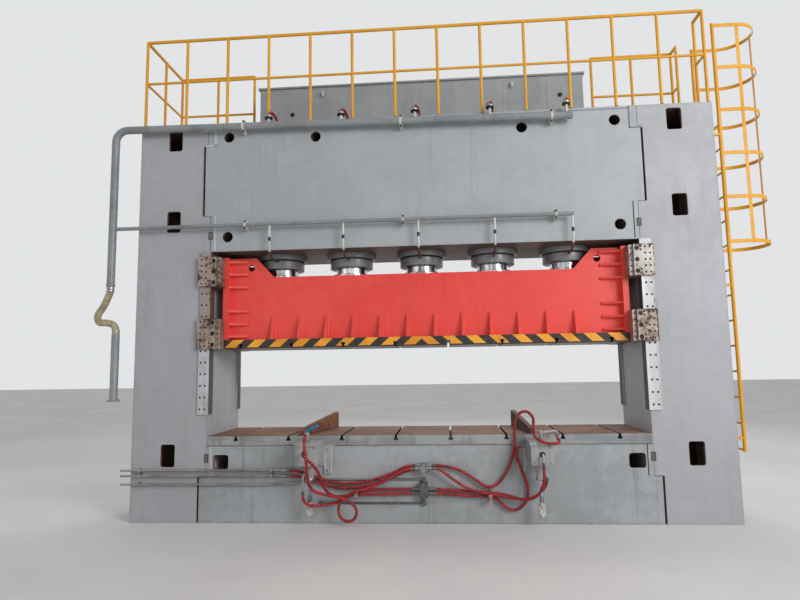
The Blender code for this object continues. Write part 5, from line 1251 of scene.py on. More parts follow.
@dataclass
class PressFrame:
    """Bed, uprights and crown: dressed plates, joint fillers, bars of painted highlight and shade, keys and hangers.
    """

    key_x: float = 2.65
    key_levels: Pair = (3.52, 0.76)
    hangers: tuple[Pair, Pair] = ((-0.79, 0.325), (0.765, 0.270))

    def build(self) -> None:
        """Dresses the four welded boxes and adds what shows on their faces."""
        boxes = {
            "bed": (BED_PAINT, (-2.76, 0.0), (2.76, 0.905)),
            "left_upright": (UPRIGHT_PAINT, (-3.60, 0.0), (-2.65, FRAME_TOP)),
            "right_upright": (UPRIGHT_PAINT, (2.65, 0.0), (3.60, FRAME_TOP)),
            "crown": (FRAME_PAINT, (-2.76, CROWN_BOTTOM), (2.76, FRAME_TOP)),
        }
        for node, (finish, low, high) in boxes.items():
            MAKER.dressed(node, finish, span=((low[0], FRONT, low[1]), (high[0], -FRONT, high[1])))
        self.joints()
        self.straps()

    @staticmethod
    def line(corners: Sequence[Pair], half: float, proud: float) -> list[Shape]:
        """Flat bars on the front along corners in X and Z, each leg one bar.

        Args:
            corners: X and Z of the line's corners.
            half: Half the bar's width.
            proud: How far it stands off the front.

        Returns:
            The bars.
        """
        bars = []
        for one, two in zip(corners, corners[1:]):
            low = [min(a, b) - half for a, b in zip(one, two)]
            high = [max(a, b) + half for a, b in zip(one, two)]
            bars.append(block((low[0], FRONT - proud, low[1]), (high[0], FRONT + 0.001, high[1]), 0.0003))
        return bars

    def joints(self) -> None:
        """Keys at the seams, dark joints between the boxes, and bars of painted highlight and painted shade on the
        ridges and edges beside them.
        """
        places = [(side * self.key_x, FRONT, level) for side in (1, -1) for level in self.key_levels]
        keys = block((-0.0275, -0.004, -0.05), (0.0275, 0.004, 0.05), 0.002).at(places)
        faces = block((-0.021, -0.0055, -0.043), (0.021, 0.002, 0.043), 0.001).at(places)
        MAKER.piece("seam_keys", keys, DARK_JOINT_AND_SHADE, smooth=False)
        MAKER.piece("seam_key_faces", faces, KEY_PAINT, smooth=False)
        dark = [
            # The first two bars, on the right, paint the shaded side of ridges whose left copies are painted
            # highlights.
            (((2.592, 3.335), (2.592, 3.775)), 0.0050, 0.004),
            (((2.585, 0.548), (2.585, 0.903)), 0.0050, 0.003),
            (((-2.64, 0.905), (2.64, 0.905)), 0.0030, 0.0012),
        ]
        for side in (-1, 1):
            x, edge = side * self.key_x, side * 2.742
            dark += [
                (((x, 3.34), (x, 3.779), (edge, 3.779)), 0.0022, 0.0012),
                (((side * 2.735, 0.540), (side * 2.652, 0.540)), 0.0045, 0.0012),
                (((x, 0.545), (x, 0.90)), 0.0018, 0.0012),
                (((side * 2.70, 4.97), (side * 2.70, 4.722), (edge, 4.722)), 0.0022, 0.0012),
            ]
        # Pale bars: painted highlights on the lit left-hand ridges and edges, and along the right rail's edge.
        pale = [
            (((-2.606, 4.975), (-2.606, 4.708), (-2.738, 4.708)), 0.0085, 0.006),
            (((-2.592, 3.335), (-2.592, 3.775)), 0.0085, 0.006),
            (((-2.592, 0.548), (-2.592, 0.893)), 0.0060, 0.004),
            (((-2.592, 0.893), (-1.50, 0.893)), 0.0018, 0.002),
            (((2.7820, 1.262), (2.7820, 3.30)), 0.0045, 0.003),
        ]
        # Grey bars: painted shadow beside the recessed plate at the crown's right corner.
        grey = [
            (((2.606, 4.975), (2.606, 4.702), (2.738, 4.702)), 0.0075, 0.003),
            (((1.30, 4.952), (2.606, 4.952)), 0.0050, 0.002),
        ]
        red = [(((-2.7625, 3.80), (-2.7625, 4.69)), 0.0015, 0.0010)]
        groups = (
            ("joint_and_shade_lines", DARK_JOINT_AND_SHADE, dark), ("painted_highlight_lines", PAINTED_HIGHLIGHT, pale),
            ("joint_grey_lines", PAINTED_SHADOW_GREY, grey), ("gap_primer_lines", GAP_PRIMER, red),
        )
        for name, finish, lines in groups:
            MAKER.piece(name, [bar for line in lines for bar in self.line(*line)], finish, smooth=False)

    def straps(self) -> None:
        """J-shaped strap over each hose hanger's solid, with its two screws."""
        parts, screws = [], []
        skin, plate, reach, height, half = 0.0006, 0.008, 0.125, 0.12, 0.0206
        back, far = FRONT - plate - skin, FRONT - reach
        for x, level in self.hangers:
            foot, top, tip = level + plate + skin, level + height + skin, level + height * 0.7 + skin
            outline = np.array([
                (FRONT, level - skin), (FRONT, top), (back, top), (back, foot), (far, foot), (far, tip),
                (back - reach, tip), (back - reach, level - skin),
            ])
            rings = [np.insert(outline, 0, x + side * half, 1) for side in (-1, 1)]
            parts.append(swept(np.stack(rings)))
            heads = [(x, back, level + height * share) for share in (0.45, 0.80)]
            screws.append(bolt(0.008, 0.006).facing(Axis.Y, -1).at(heads))
        MAKER.piece("hanger_straps", parts, STRAP, smooth=False)
        MAKER.piece("hanger_screws", screws, ZINC, smooth=False)


@dataclass
class PressTable:
    """The bolster plate and the two bars that lie on it."""

    def build(self) -> None:
        """Dresses the plate and the bars."""
        for node, finish, bevel in (
            ("bolster_plate", TABLE_PLATE, 0.003), ("left_bar", RUST, 0.005), ("right_bar", OLD_RUST, 0.005)
        ):
            MAKER.dressed(node, finish, bevel=bevel)


@dataclass
class SlideUnit:
    """The red slide with its weld seams, and the striped platen under it."""

    ribs: int = 12
    pitch: float = 0.343
    thickness: float = 0.035
    web: float = 0.34
    foot: float = 2.2023
    rib_height: float = 0.285

    def build(self) -> None:
        """Dresses both, and lays seams round each rib and along the slide's foot."""
        MAKER.dressed("slide", SLIDE_PAINT, Body.SLIDE)
        MAKER.dressed("slide_platen", HAZARD, Body.SLIDE, 0.003)
        middles = (np.arange(self.ribs) - (self.ribs - 1) / 2) * self.pitch
        sides = (middles[:, None] + np.array([-1, 1]) * (self.thickness / 2 + 0.002)).ravel()
        low, high, level = self.foot + 0.003, self.foot + self.rib_height - 0.006, self.foot + 0.004
        seams = []
        for face in (-1, 1):
            y, out, line = (face * (self.web + reach) for reach in (0.001, 0.092, 0.002))
            rib = seam([(0.0, out, low), (0.0, y, low), (0.0, y, high)], 0.0055, 0.014)
            seams.append(rib.at(np.outer(sides, (1, 0, 0))))
            seams.append(seam([(-2.50, line, level), (2.50, line, level)], 0.006))
        MAKER.piece("slide_seams", seams, SLIDE_PAINT, Body.SLIDE)


@dataclass
class CylinderRow:
    """Five cylinders with flanges and glands, and their chromed rods."""

    pitch: float = 0.93
    count: int = 5
    sides: int = 72

    def build(self) -> None:
        """Turns each cylinder with its gland joint, and each rod with its ring of screws."""
        low, high = (corner[2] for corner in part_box("cylinder_1"))
        foot, head = (corner[2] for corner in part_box("piston_rod_1"))
        joint = [(0.2805, low + 0.108), (0.2805, low + 0.119)]
        for n in range(self.count):
            axis = ((n - (self.count - 1) / 2) * self.pitch, 0.0, 0.0)
            barrel = [turned(self.cylinder(low, high), self.sides, axis)]
            MAKER.piece(f"cylinder_body_{n + 1}", barrel, CYLINDER_PAINT, replaces=(f"cylinder_{n + 1}",))
            rod = turned(self.rod(foot, head), self.sides, axis)
            MAKER.piece(f"chromed_rod_{n + 1}", rod, CHROME, Body.SLIDE, replaces=(f"piston_rod_{n + 1}",))
            gap = turned(joint, self.sides, axis)
            MAKER.piece(f"gland_joint_{n + 1}", gap, DARK_JOINT_AND_SHADE)
            ring = ring_of(12, 0.229, (axis[0], 0.0, foot + 0.0345))
            MAKER.piece(f"rod_foot_ring_{n + 1}", cap_screw(0.012, 0.010).at(ring), SLIDE_PAINT, Body.SLIDE)

    @staticmethod
    def cylinder(low: float, high: float) -> list[Pair]:
        """Profile from the bore's head down the bore, round the gland and flange, up the barrel.

        Args:
            low: Height of the gland's underside.
            high: Height of the barrel's top.

        Returns:
            Radius and height of each corner.
        """
        return [
            (0.2495, high - 0.062), (0.2495, 3.32), (0.2042, 3.32), (0.2042, low + 0.006), (0.210, low),
            (0.272, low), (0.2795, low + 0.003), (0.281, low + 0.008), (0.281, low + 0.098),
            (0.270, low + 0.104), (0.270, low + 0.1195), (0.318, low + 0.120), (0.323, low + 0.124),
            (0.323, CROWN_BOTTOM - 0.005), (0.319, CROWN_BOTTOM - 0.0004), (0.280, CROWN_BOTTOM - SEAT),
            (0.280, high),
        ]

    @staticmethod
    def rod(low: float, high: float) -> list[Pair]:
        """Profile from the foot flange up the rod to the piston.

        Args:
            low: Height of the foot's underside.
            high: Height of the piston's top.

        Returns:
            Radius and height of each corner.
        """
        return [
            (0.246, low), (0.250, low + 0.004), (0.250, low + 0.030), (0.246, low + 0.0345),
            (0.208, low + 0.035), (0.203, low + 0.040), (0.203, high - 0.152), (0.245, high - 0.150),
            (0.249, high - 0.146), (0.249, high - 0.004), (0.245, high),
        ]


@dataclass
class GuideSet:
    """Rails on the uprights and gib shoes on the slide, drilled and screwed."""

    hole: float = 0.0125
    rail_columns: Pair = (2.68, 2.74)
    shoe_columns: Pair = (2.678, 2.734)

    def build(self) -> None:
        """Dresses the four rails and the eight shoes."""
        for (face, y), (side, x) in product((("front", -1), ("rear", 1)), (("left", -1), ("right", 1))):
            self.rail(f"{face}_{side}_rail", x, y)
            for level in ("lower", "upper"):
                coat = PALE_SHOE if (x > 0 and level == "upper") else BROWN_SHOE
                self.shoe(f"{face}_{side}_{level}_shoe", x, y, coat)

    def rail(self, rail: str, x: int, y: int) -> None:
        """Drills a rail in two columns and sinks its screws.

        Args:
            rail: The CAD node.
            x: Side of the frame.
            y: Face of the frame.
        """
        low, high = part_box(rail)
        face = low[1] if y < 0 else high[1]
        rows = np.arange(low[2] + 0.065, high[2] - 0.03, 0.143)
        spots = np.array([(x * column, face, z) for column in self.rail_columns for z in rows])
        drill = turned([(self.hole, -0.008), (self.hole, 0.004)], 12).facing(Axis.Y, y).at(spots)
        MAKER.dressed(rail, BRIGHT_RAIL if x > 0 else BROWN_RAIL, bevel=0.002, cutters=[drill])
        heads = cap_screw(0.0122, 0.005).facing(Axis.Y, y).at(spots - (0.0, y * 0.0075, 0.0))
        MAKER.piece(rail + "_screws", heads, BLACK_STEEL, smooth=False)

    def shoe(self, shoe: str, x: int, y: int, coat: Finish) -> None:
        """Drills a shoe's face plate, sinks its screws, and adds the lip beside the slide.

        Args:
            shoe: The CAD node.
            x: Side of the frame.
            y: Face of the frame.
            coat: The shoe's finish.
        """
        low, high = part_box(shoe)
        face = low[1] if y < 0 else high[1]
        rows = np.linspace(low[2] + 0.035, high[2] - 0.035, 5)
        large = [low[2] + 0.05, (low[2] + high[2]) / 2, high[2] - 0.05]
        small = [(x * column, face, z) for column in self.shoe_columns for z in rows]
        small += [(x * 2.626, face, z + shift) for z in (large[0], large[2]) for shift in (-0.02, 0.02)]
        drill = turned([(self.hole, -0.010), (self.hole, 0.004)], 12).facing(Axis.Y, y).at(small)
        MAKER.dressed(shoe, coat, Body.SLIDE, 0.003, [drill])
        sunk = [(x * 2.582, face - y * 0.020, z) for z in large]
        edge = [(x * 2.522, y * 0.5825, z) for z in np.linspace(low[2] + 0.045, high[2] - 0.045, 5)]
        heads = (
            (cap_screw(0.0120, 0.006), np.array(small) - (0.0, y * 0.010, 0.0)),
            (cap_screw(0.024, 0.012), sunk),
            (cap_screw(0.0105, 0.003), edge),
        )
        screws = [head.facing(Axis.Y, y).at(places) for head, places in heads]
        MAKER.piece(shoe + "_screws", screws, BLACK_STEEL, Body.SLIDE, False)
        wide, deep = sorted((x * 2.4985, x * 2.5455)), sorted((y * 0.4908, y * 0.583))
        lip = block((wide[0], deep[0], low[2] + 0.002), (wide[1], deep[1], high[2] - 0.002), 0.002)
        MAKER.piece(shoe + "_lip", lip, coat, Body.SLIDE, smooth=False)


@dataclass
class Roof:
    """The oil tank with its lid, and the guard railings round the crown's top."""

    hand: float = 0.021
    knee: float = 0.016
    post: float = 0.019
    edge_x: float = 3.57
    edge_y: float = 0.53
    hand_level: float = 6.182
    knee_level: float = 5.605
    bays: int = 13

    def build(self) -> None:
        """Dresses the tank and rebuilds the railings as round tubes."""
        MAKER.dressed("oil_tank", TANK_PAINT)
        MAKER.dressed("tank_lid", TANK_PAINT, bevel=0.003)
        self.tank_details()
        x, y, run = self.edge_x, self.edge_y, -self.edge_x + 1.11
        front = [(-x + n * 2 * x / self.bays, -y) for n in range(self.bays + 1)] + [(x, -y + 0.26)]
        self.railing("front_railing", [(-x, -y), (x, -y), (x, -y + 0.26)], front)
        left = [(-x, 0.0), (-x, y), (-x + 0.555, y), (run, y)]
        self.railing("left_railing", [(-x, -y + self.hand + SEAT), (-x, y), (run, y)], left)
        rear = [(-run, y), (x - 0.555, y), (x, y), (x, y - 0.20)]
        self.railing("rear_right_railing", [(-run, y), (x, y), (x, y - 0.20)], rear)

    def railing(self, node: str, corners: list[Pair], posts: list[Pair]) -> None:
        """A hand rail and a knee rail along plan corners, with posts and their foot welds.

        Args:
            node: The CAD node.
            corners: The run's corners in plan.
            posts: The posts' places in plan.
        """
        knee, foot = self.knee_level, FRAME_TOP + SEAT
        shapes = []
        for level, radius in ((self.hand_level, self.hand), (knee, self.knee)):
            shapes.append(tube(rounded_path([(a, b, level) for a, b in corners], 0.03), radius))
        places = [(a, b, 0.0) for a, b in posts]
        for profile in (
            [(self.post, foot), (self.post, self.hand_level + 0.002)],
            [(0.0205, knee - 0.006), (0.0215, knee), (0.0205, knee + 0.006)],
        ):
            shapes.append(turned(profile, 16).at(places))
        MAKER.piece(node + "_tubes", shapes, RAILING_PAINT, replaces=(node,))
        weld = turned([(0.026, foot), (0.024, foot + 0.006), (0.0195, foot + 0.014)], 16)
        MAKER.piece(node + "_foot_welds", weld.at(places), BROWN_PIPE)

    @staticmethod
    def tank_details() -> None:
        """Upright seams, spouts and plugs on the tank's front, and the lid's screws."""
        low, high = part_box("oil_tank")
        lid_low, lid_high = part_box("tank_lid")
        y, foot = low[1], low[2] + 0.003
        seams = [seam([(x, y, low[2] + 0.01), (x, y, high[2] - 0.03)], 0.004, 0.02) for x in (-1.12, 0.02, 1.16)]
        seams.append(seam([(low[0], y, foot), (high[0], y, foot)], 0.006, 0.02))
        MAKER.piece("tank_seams", seams, TANK_PAINT)
        spout = rounded_path([(0, 0.095, 5.66), (0, 0.045, 5.66), (0, 0.045, 5.59)], 0.02)
        spouts = tube(spout, 0.015, 12, bore=0.7).at([(-1.33, 0, 0), (1.275, 0, 0)])
        MAKER.piece("tank_spouts", spouts, WHITE_PAINT)
        plug = turned([(0.030, -0.002), (0.030, 0.010), (0.022, 0.014)], 20).facing(Axis.Y, -1)
        MAKER.piece("tank_plugs", plug.at([(-1.767, y, 5.364), (1.92, y, 5.465)]), BLACK_STEEL)
        rows = np.arange(lid_low[0] + 0.06, lid_high[0] - 0.05, 0.31)
        spots = [(x, y, lid_high[2] - 0.008) for x in rows for y in (lid_low[1] + 0.02, lid_high[1] - 0.02)]
        MAKER.piece("lid_screws", bolt(0.009, 0.006).at(spots), ZINC, smooth=False)


@dataclass
class SideLadder:
    """The ladder on the right upright and its cage of flat hoops."""

    x: float = 3.75
    near: float = -0.38
    far: float = 0.26
    foot: float = 0.78
    head: float = 6.09
    radius: float = 0.021
    hoop_start: float = 3.285
    hoop_pitch: float = 0.556
    straight: float = 0.30

    def build(self) -> None:
        """Rebuilds the ladder and the cage."""
        self.ladder()
        self.cage()

    def ladder(self) -> None:
        """Round stringers and rungs, with square braces and their bolted wall plates."""
        shapes, plates, screws = [], [], []
        x = self.x
        profile = [(0.018, self.foot), (self.radius, self.foot + 0.003), (self.radius, self.head - 0.003),
                   (0.018, self.head)]
        for y in (self.near, self.far):
            shapes.append(turned(profile, 16, (x, y, 0.0)))
            for level in (0.94, 2.75, 4.63):
                shapes.append(block((3.6005, y - 0.015, level - 0.015), (x, y + 0.015, level + 0.015), 0.003))
                plates.append(block((3.6003, y - 0.03, level - 0.055), (3.609, y + 0.03, level + 0.055)))
                heads = [(3.609, y, level - 0.038), (3.609, y, level + 0.038)]
                screws.append(bolt(0.011, 0.008).facing(Axis.X).at(heads))
        places = np.outer(0.80 + 0.305 * np.arange(14), (0, 0, 1))
        shapes.append(tube([(x, self.near, 0.0), (x, self.far, 0.0)], 0.012, 12).at(places))
        for y, sign in ((self.near, 1), (self.far, -1)):
            ring = [(x, y + sign * reach, 0.0) for reach in (0.019, 0.028)]
            shapes.append(tube(ring, 0.0155, 12).at(places))
        MAKER.piece("ladder_tubes", shapes, RAILING_PAINT, replaces=("ladder",))
        MAKER.piece("ladder_wall_plates", plates, RAILING_PAINT, smooth=False)
        MAKER.piece("ladder_bolts", screws, ZINC, smooth=False)

    def cage(self) -> None:
        """Flat hoops, each a thin rectangle carried straight out, half round and back, and strips."""
        middle, half = (self.near + self.far) / 2, (self.far - self.near) / 2
        start, bend, radius = self.x + self.radius * 0.87 + SEAT, self.x + self.straight, half - 0.004
        turn = np.linspace(-math.pi / 2, math.pi / 2, 33)
        arc = np.stack([bend + radius * np.cos(turn), middle + radius * np.sin(turn), 0 * turn], 1)
        path = np.concatenate([[(start, middle - radius, 0.0)], arc, [(start, middle + radius, 0.0)]])
        tall, thin, cut = 0.0225, 0.0039, 0.0039 * 0.3
        corners = [(tall - cut, thin), (-tall + cut, thin), (-tall, thin - cut), (-tall, -thin + cut)]
        section = np.array(corners + [(-a, -b) for a, b in corners])
        levels = self.hoop_start + self.hoop_pitch * np.arange(6)
        shapes = [swept(rings_along(path, section)).at(np.outer(levels, (0, 0, 1)))]
        low, high = levels[0] - 0.0228, levels[-1] + 0.0228
        inner, outer = half - 0.0130, half - 0.0075
        for side in (-1, 1):
            ends = sorted((middle + side * inner, middle + side * outer))
            shapes.append(block((bend - 0.02, ends[0], low), (bend + 0.02, ends[1], high), 0.001))
        shapes.append(block((bend + inner, middle - 0.02, low), (bend + outer, middle + 0.02, high), 0.001))
        MAKER.piece("cage_bars", shapes, RAILING_PAINT, replaces=("ladder_cage",))
        rivet = turned([(0.008, -0.001), (0.0075, 0.002), (0.004, 0.004)], 10)
        heads = [
            rivet.facing(Axis.Y, side).at([(bend, middle + side * (half - 0.0005), z) for z in levels])
            for side in (1, -1)
        ]
        MAKER.piece("cage_rivets", heads, RAILING_PAINT, smooth=False)


@dataclass
class Pipework:
    """Headers on the crown, the suction line at the left, and the pipes along the bed."""

    header: float = 0.048
    drain: float = 0.024
    drain_level: float = 3.625
    riser: Point = (-3.89, PIPE_Y, 0.0)
    stand: Point = (-3.80, PIPE_Y, 0.0)
    clamps: Point = (-2.207, -0.20, 1.655)
    drain_clamps: Point = (-2.17, -0.19, 1.655)

    def build(self) -> None:
        """Rebuilds every pipe with its clamps, unions and stubs."""
        self.return_header()
        self.stubs()
        self.drain_header()
        self.suction()
        self.bed_pipes()

    @staticmethod
    def level(x: float) -> float:
        """Height of the sloping header at a place along the frame."""
        return 4.925 + (x + 3.74) / 5.64 * (4.855 - 4.925)

    def return_header(self) -> None:
        """The header down to its riser, with weld rings and a collar at its foot."""
        turn = np.linspace(math.pi / 2, math.pi, 17)
        bend = np.stack([-3.74 + 0.15 * np.cos(turn), 0 * turn + PIPE_Y, 4.775 + 0.15 * np.sin(turn)], 1)
        line = np.concatenate([[(1.90, PIPE_Y, 4.855)], bend, [(-3.89, PIPE_Y, 2.89)]])
        shapes = [tube(line, self.header, 24)]
        slim, wide = 0.0475, 0.0515
        for x in (-3.70, -2.9, -1.0, 0.75):
            ring = [(x + shift, PIPE_Y, self.level(x)) for shift in (-0.006, 0.0, 0.006)]
            shapes.append(tube(ring, np.array([slim, wide, slim]), 24))
        for profile in (
            [(slim, 4.734), (wide, 4.74), (slim, 4.746)],
            [(slim, 3.894), (wide, 3.9), (slim, 3.906)],
            [(slim, 2.892), (0.053, 2.895), (0.053, 2.925), (slim, 2.93)],
        ):
            shapes.append(turned(profile, 24, self.riser))
        MAKER.piece("return_header_pipe", shapes, PIPE_PAINT, replaces=("return_header",))
        self.saddles("header_clamps", [(x, PIPE_Y, self.level(x)) for x in self.clamps], self.header)

    @staticmethod
    def saddles(name: str, spots: Sequence[Point], radius: float) -> None:
        """Pipe clamps: a block on the frame, a flat strap round the pipe and two bolts.

        Args:
            name: The piece's name.
            spots: Place of each clamp on the pipe's axis.
            radius: Radius of the pipe.
        """
        turn = np.linspace(-math.pi / 2, math.pi / 2, 13)
        reach = radius + 0.003
        arc = np.stack([0 * turn, -reach * np.cos(turn), reach * np.sin(turn)], 1)
        lead, tail = ([(0.0, 0.0, sign * (reach + far))] for sign, far in ((-1, 0.002), (1, 0.002)))
        path = np.concatenate([[(0.0, 0.0, -reach - 0.03)], lead, arc, tail, [(0.0, 0.0, reach + 0.03)]])
        section = np.array([(0.003, -0.016), (0.003, 0.016), (-0.003, 0.016), (-0.003, -0.016)])
        base = block((-0.0175, 0.0, -radius - 0.034), (0.0175, FRONT - PIPE_Y - SEAT, radius + 0.034), 0.003)
        clamp = Shape.together([swept(rings_along(path, section)), base])
        heads = bolt(0.011, 0.016).facing(Axis.Y, -1).at([(0, -0.003, -reach - 0.017), (0, -0.003, reach + 0.017)])
        MAKER.piece(name, clamp.at(spots), WHITE_PAINT)
        MAKER.piece(name + "_bolts", heads.at(spots), BLACK_STEEL, smooth=False)

    @staticmethod
    def stubs() -> None:
        """White stubs from the header, their flanged heads with four nuts, and the short hoses."""
        xs = -1.88 + 0.929 * np.arange(5)
        places = [(x, PIPE_Y, 0.0) for x in xs]
        profiles = (
            ("header_stubs", WHITE_PAINT, 16, [(0.018, 4.86), (0.018, 4.995)]),
            ("stub_flanges", BLACK_STEEL, 24, [(0.044, 4.988), (0.050, 4.991), (0.050, 5.008), (0.046, 5.011)]),
            ("stub_caps", ZINC, 24,
             [(0.046, 5.010), (0.047, 5.014), (0.045, 5.030), (0.034, 5.041), (0.018, 5.0445)]),
        )
        for name, finish, sides, profile in profiles:
            MAKER.piece(name, turned(profile, sides).at(places), finish)
        nuts = bolt(0.009, 0.014).at(ring_of(4, 0.034, (0.0, 0.0, 5.034), 0.6)).at(places)
        MAKER.piece("stub_nuts", nuts, BLACK_STEEL, smooth=False)
        shifts = [(0, 0, 5.02), (0.004, 0.01, 5.055), (0.014, 0.04, 5.088), (0.032, 0.11, 5.092),
                  (0.048, 0.18, 5.062), (0.05, 0.20, 5.02), (0.05, 0.20, FRAME_TOP + 0.001)]
        line = smooth_route([(x, PIPE_Y + y, z) for x, y, z in shifts], 0.008)
        MAKER.piece("header_hoses", tube(line, 0.0172, 16, 1 / 0.03).at([(x, 0, 0) for x in xs]), HOSE)
        ring = turned([(0.023, FRAME_TOP), (0.023, FRAME_TOP + 0.02), (0.018, FRAME_TOP + 0.024)], 16)
        MAKER.piece("hose_sockets", ring.at([(x + 0.05, PIPE_Y + 0.20, 0) for x in xs]), ZINC)

    def drain_header(self) -> None:
        """The thin header and, to each cylinder, a drop line in white, black and brown lengths."""
        z = self.drain_level
        shapes = [tube([(-3.8415, PIPE_Y, z), (1.862, PIPE_Y, z)], self.drain)]
        for x in (-3.0, -1.2, 0.8):
            shapes.append(tube([(x - 0.02, PIPE_Y, z), (x + 0.02, PIPE_Y, z)], 0.028))
        MAKER.piece("drain_header_pipe", shapes, PIPE_PAINT, replaces=("drain_header",))
        self.saddles("drain_clamps", [(x, PIPE_Y, z) for x in self.drain_clamps], self.drain)
        lengths = (("tops", WHITE_PAINT, 0.014), ("bands", BLACK_STEEL, 0.0165), ("bends", WHITE_PAINT, 0.0142),
                   ("ends", BROWN_PIPE, 0.0138))
        parts: dict[str, list[Shape]] = {name: [] for name, _, _ in lengths}
        for n in range(5):
            x = -1.858 + 0.926 * n
            shifts = [(0, z), (0, z - 0.03), (0, CROWN_BOTTOM + 0.03), (0.012, CROWN_BOTTOM - 0.03),
                      (0.05, CROWN_BOTTOM - 0.065), (0.12, 3.211)]
            knots = [*((x, PIPE_Y + y, level) for y, level in shifts), ((n - 2) * 0.93, -0.2815, 3.211)]
            line = even(rounded_path(knots, 0.03, 6), 0.012)
            gone = travelled(line)[1:]
            cuts = [0, *(int(np.searchsorted(gone, far)) + 1 for far in (0.16, 0.215, 0.335)), len(line)]
            for (name, _, radius), one, two in zip(lengths, cuts, cuts[1:]):
                parts[name].append(tube(line[one:two + 1], radius, 12))
        for name, coat, _ in lengths:
            MAKER.piece("drop_line_" + name, parts[name], coat)

    def suction(self) -> None:
        """The ribbed suction bend, its clips, and the flanged pipe under it."""
        plan = [(-3.89, 2.8897), (-3.89, 2.83), (-3.96, 2.66), (-4.04, 2.53), (-4.02, 2.445), (-3.93, 2.435),
                (-3.84, 2.41), (-3.80, 2.34), (-3.80, 2.2803)]
        route = smooth_route([(x, PIPE_Y, z) for x, z in plan], 0.006)
        rib = 0.0432 * (1 - 0.02 * (1 + np.cos(np.arange(len(route)) * TURN / 4)))
        MAKER.piece("suction_bend", tube(route, rib, 24, 1 / 0.024), BEIGE_HOSE, replaces=("suction_hose",))
        clips = [
            tube([(x, PIPE_Y, z), (x, PIPE_Y, z + 0.014)], 0.0475, 24)
            for x, z in ((-3.89, 2.83), (-3.89, 2.862), (-3.80, 2.292), (-3.80, 2.322))
        ]
        MAKER.piece("suction_clips", clips, ZINC)
        profile = [(0.072, 1.46), (0.075, 1.463), (0.075, 1.477), (0.072, 1.48), (0.050, 1.481), (0.048, 1.49),
                   (0.048, 2.275), (0.045, 2.28)]
        MAKER.piece("suction_stand_pipe", turned(profile, 32, self.stand), PIPE_PAINT, replaces=("suction_pipe",))
        ring = ring_of(4, 0.062, (self.stand[0], PIPE_Y, 1.479), TURN / 8)
        MAKER.piece("suction_flange_bolts", bolt(0.008, 0.008).at(ring), ZINC, smooth=False)

    @staticmethod
    def bed_pipes() -> None:
        """Two pressure pipes with unions in one clamp, and the lower pipe."""
        for name, start, radius, sides, coat, replaced in (
            ("bed_pressure_pipes", -3.70, 0.013, 16, PLAIN_PIPE, ("bed_pipes",)),
            ("bed_pipe_unions", -1.695, 0.019, 6, ZINC, ()),
        ):
            runs = [tube([(start, HOSE_Y, z), (-1.645, HOSE_Y, z)], radius, sides) for z in (0.625, 0.56)]
            MAKER.piece(name, runs, coat, smooth=bool(replaced), replaces=replaced)
        knots = [(-3.70, HOSE_Y, 0.46), (-3.2, HOSE_Y, 0.46), (-1.70, HOSE_Y, 0.46), (-1.50, -0.5755, 0.47),
                 (-1.20, -0.5755, 0.512), (-0.0228, -0.5755, 0.512)]
        low_pipe = tube(rounded_path(knots, 0.12), 0.012, 14)
        MAKER.piece("bed_low_pipe", low_pipe, PLAIN_PIPE, replaces=("lower_bed_pipe",))
        clamps = [
            block((left, -0.629, low), (right, -0.5603, high), 0.003)
            for left, right, low, high in (
                (-3.4875, -3.4525, 0.54, 0.645), (-3.4875, -3.4525, 0.44, 0.48), (-1.835, -1.805, 0.54, 0.645)
            )
        ]
        MAKER.piece("bed_pipe_clamps", clamps, ZINC, smooth=False)
        heads = bolt(0.008, 0.008).facing(Axis.Y, -1).at([(-3.47, -0.629, 0.5925), (-1.82, -0.629, 0.5925)])
        MAKER.piece("bed_clamp_bolt", heads, BLACK_STEEL, smooth=False)


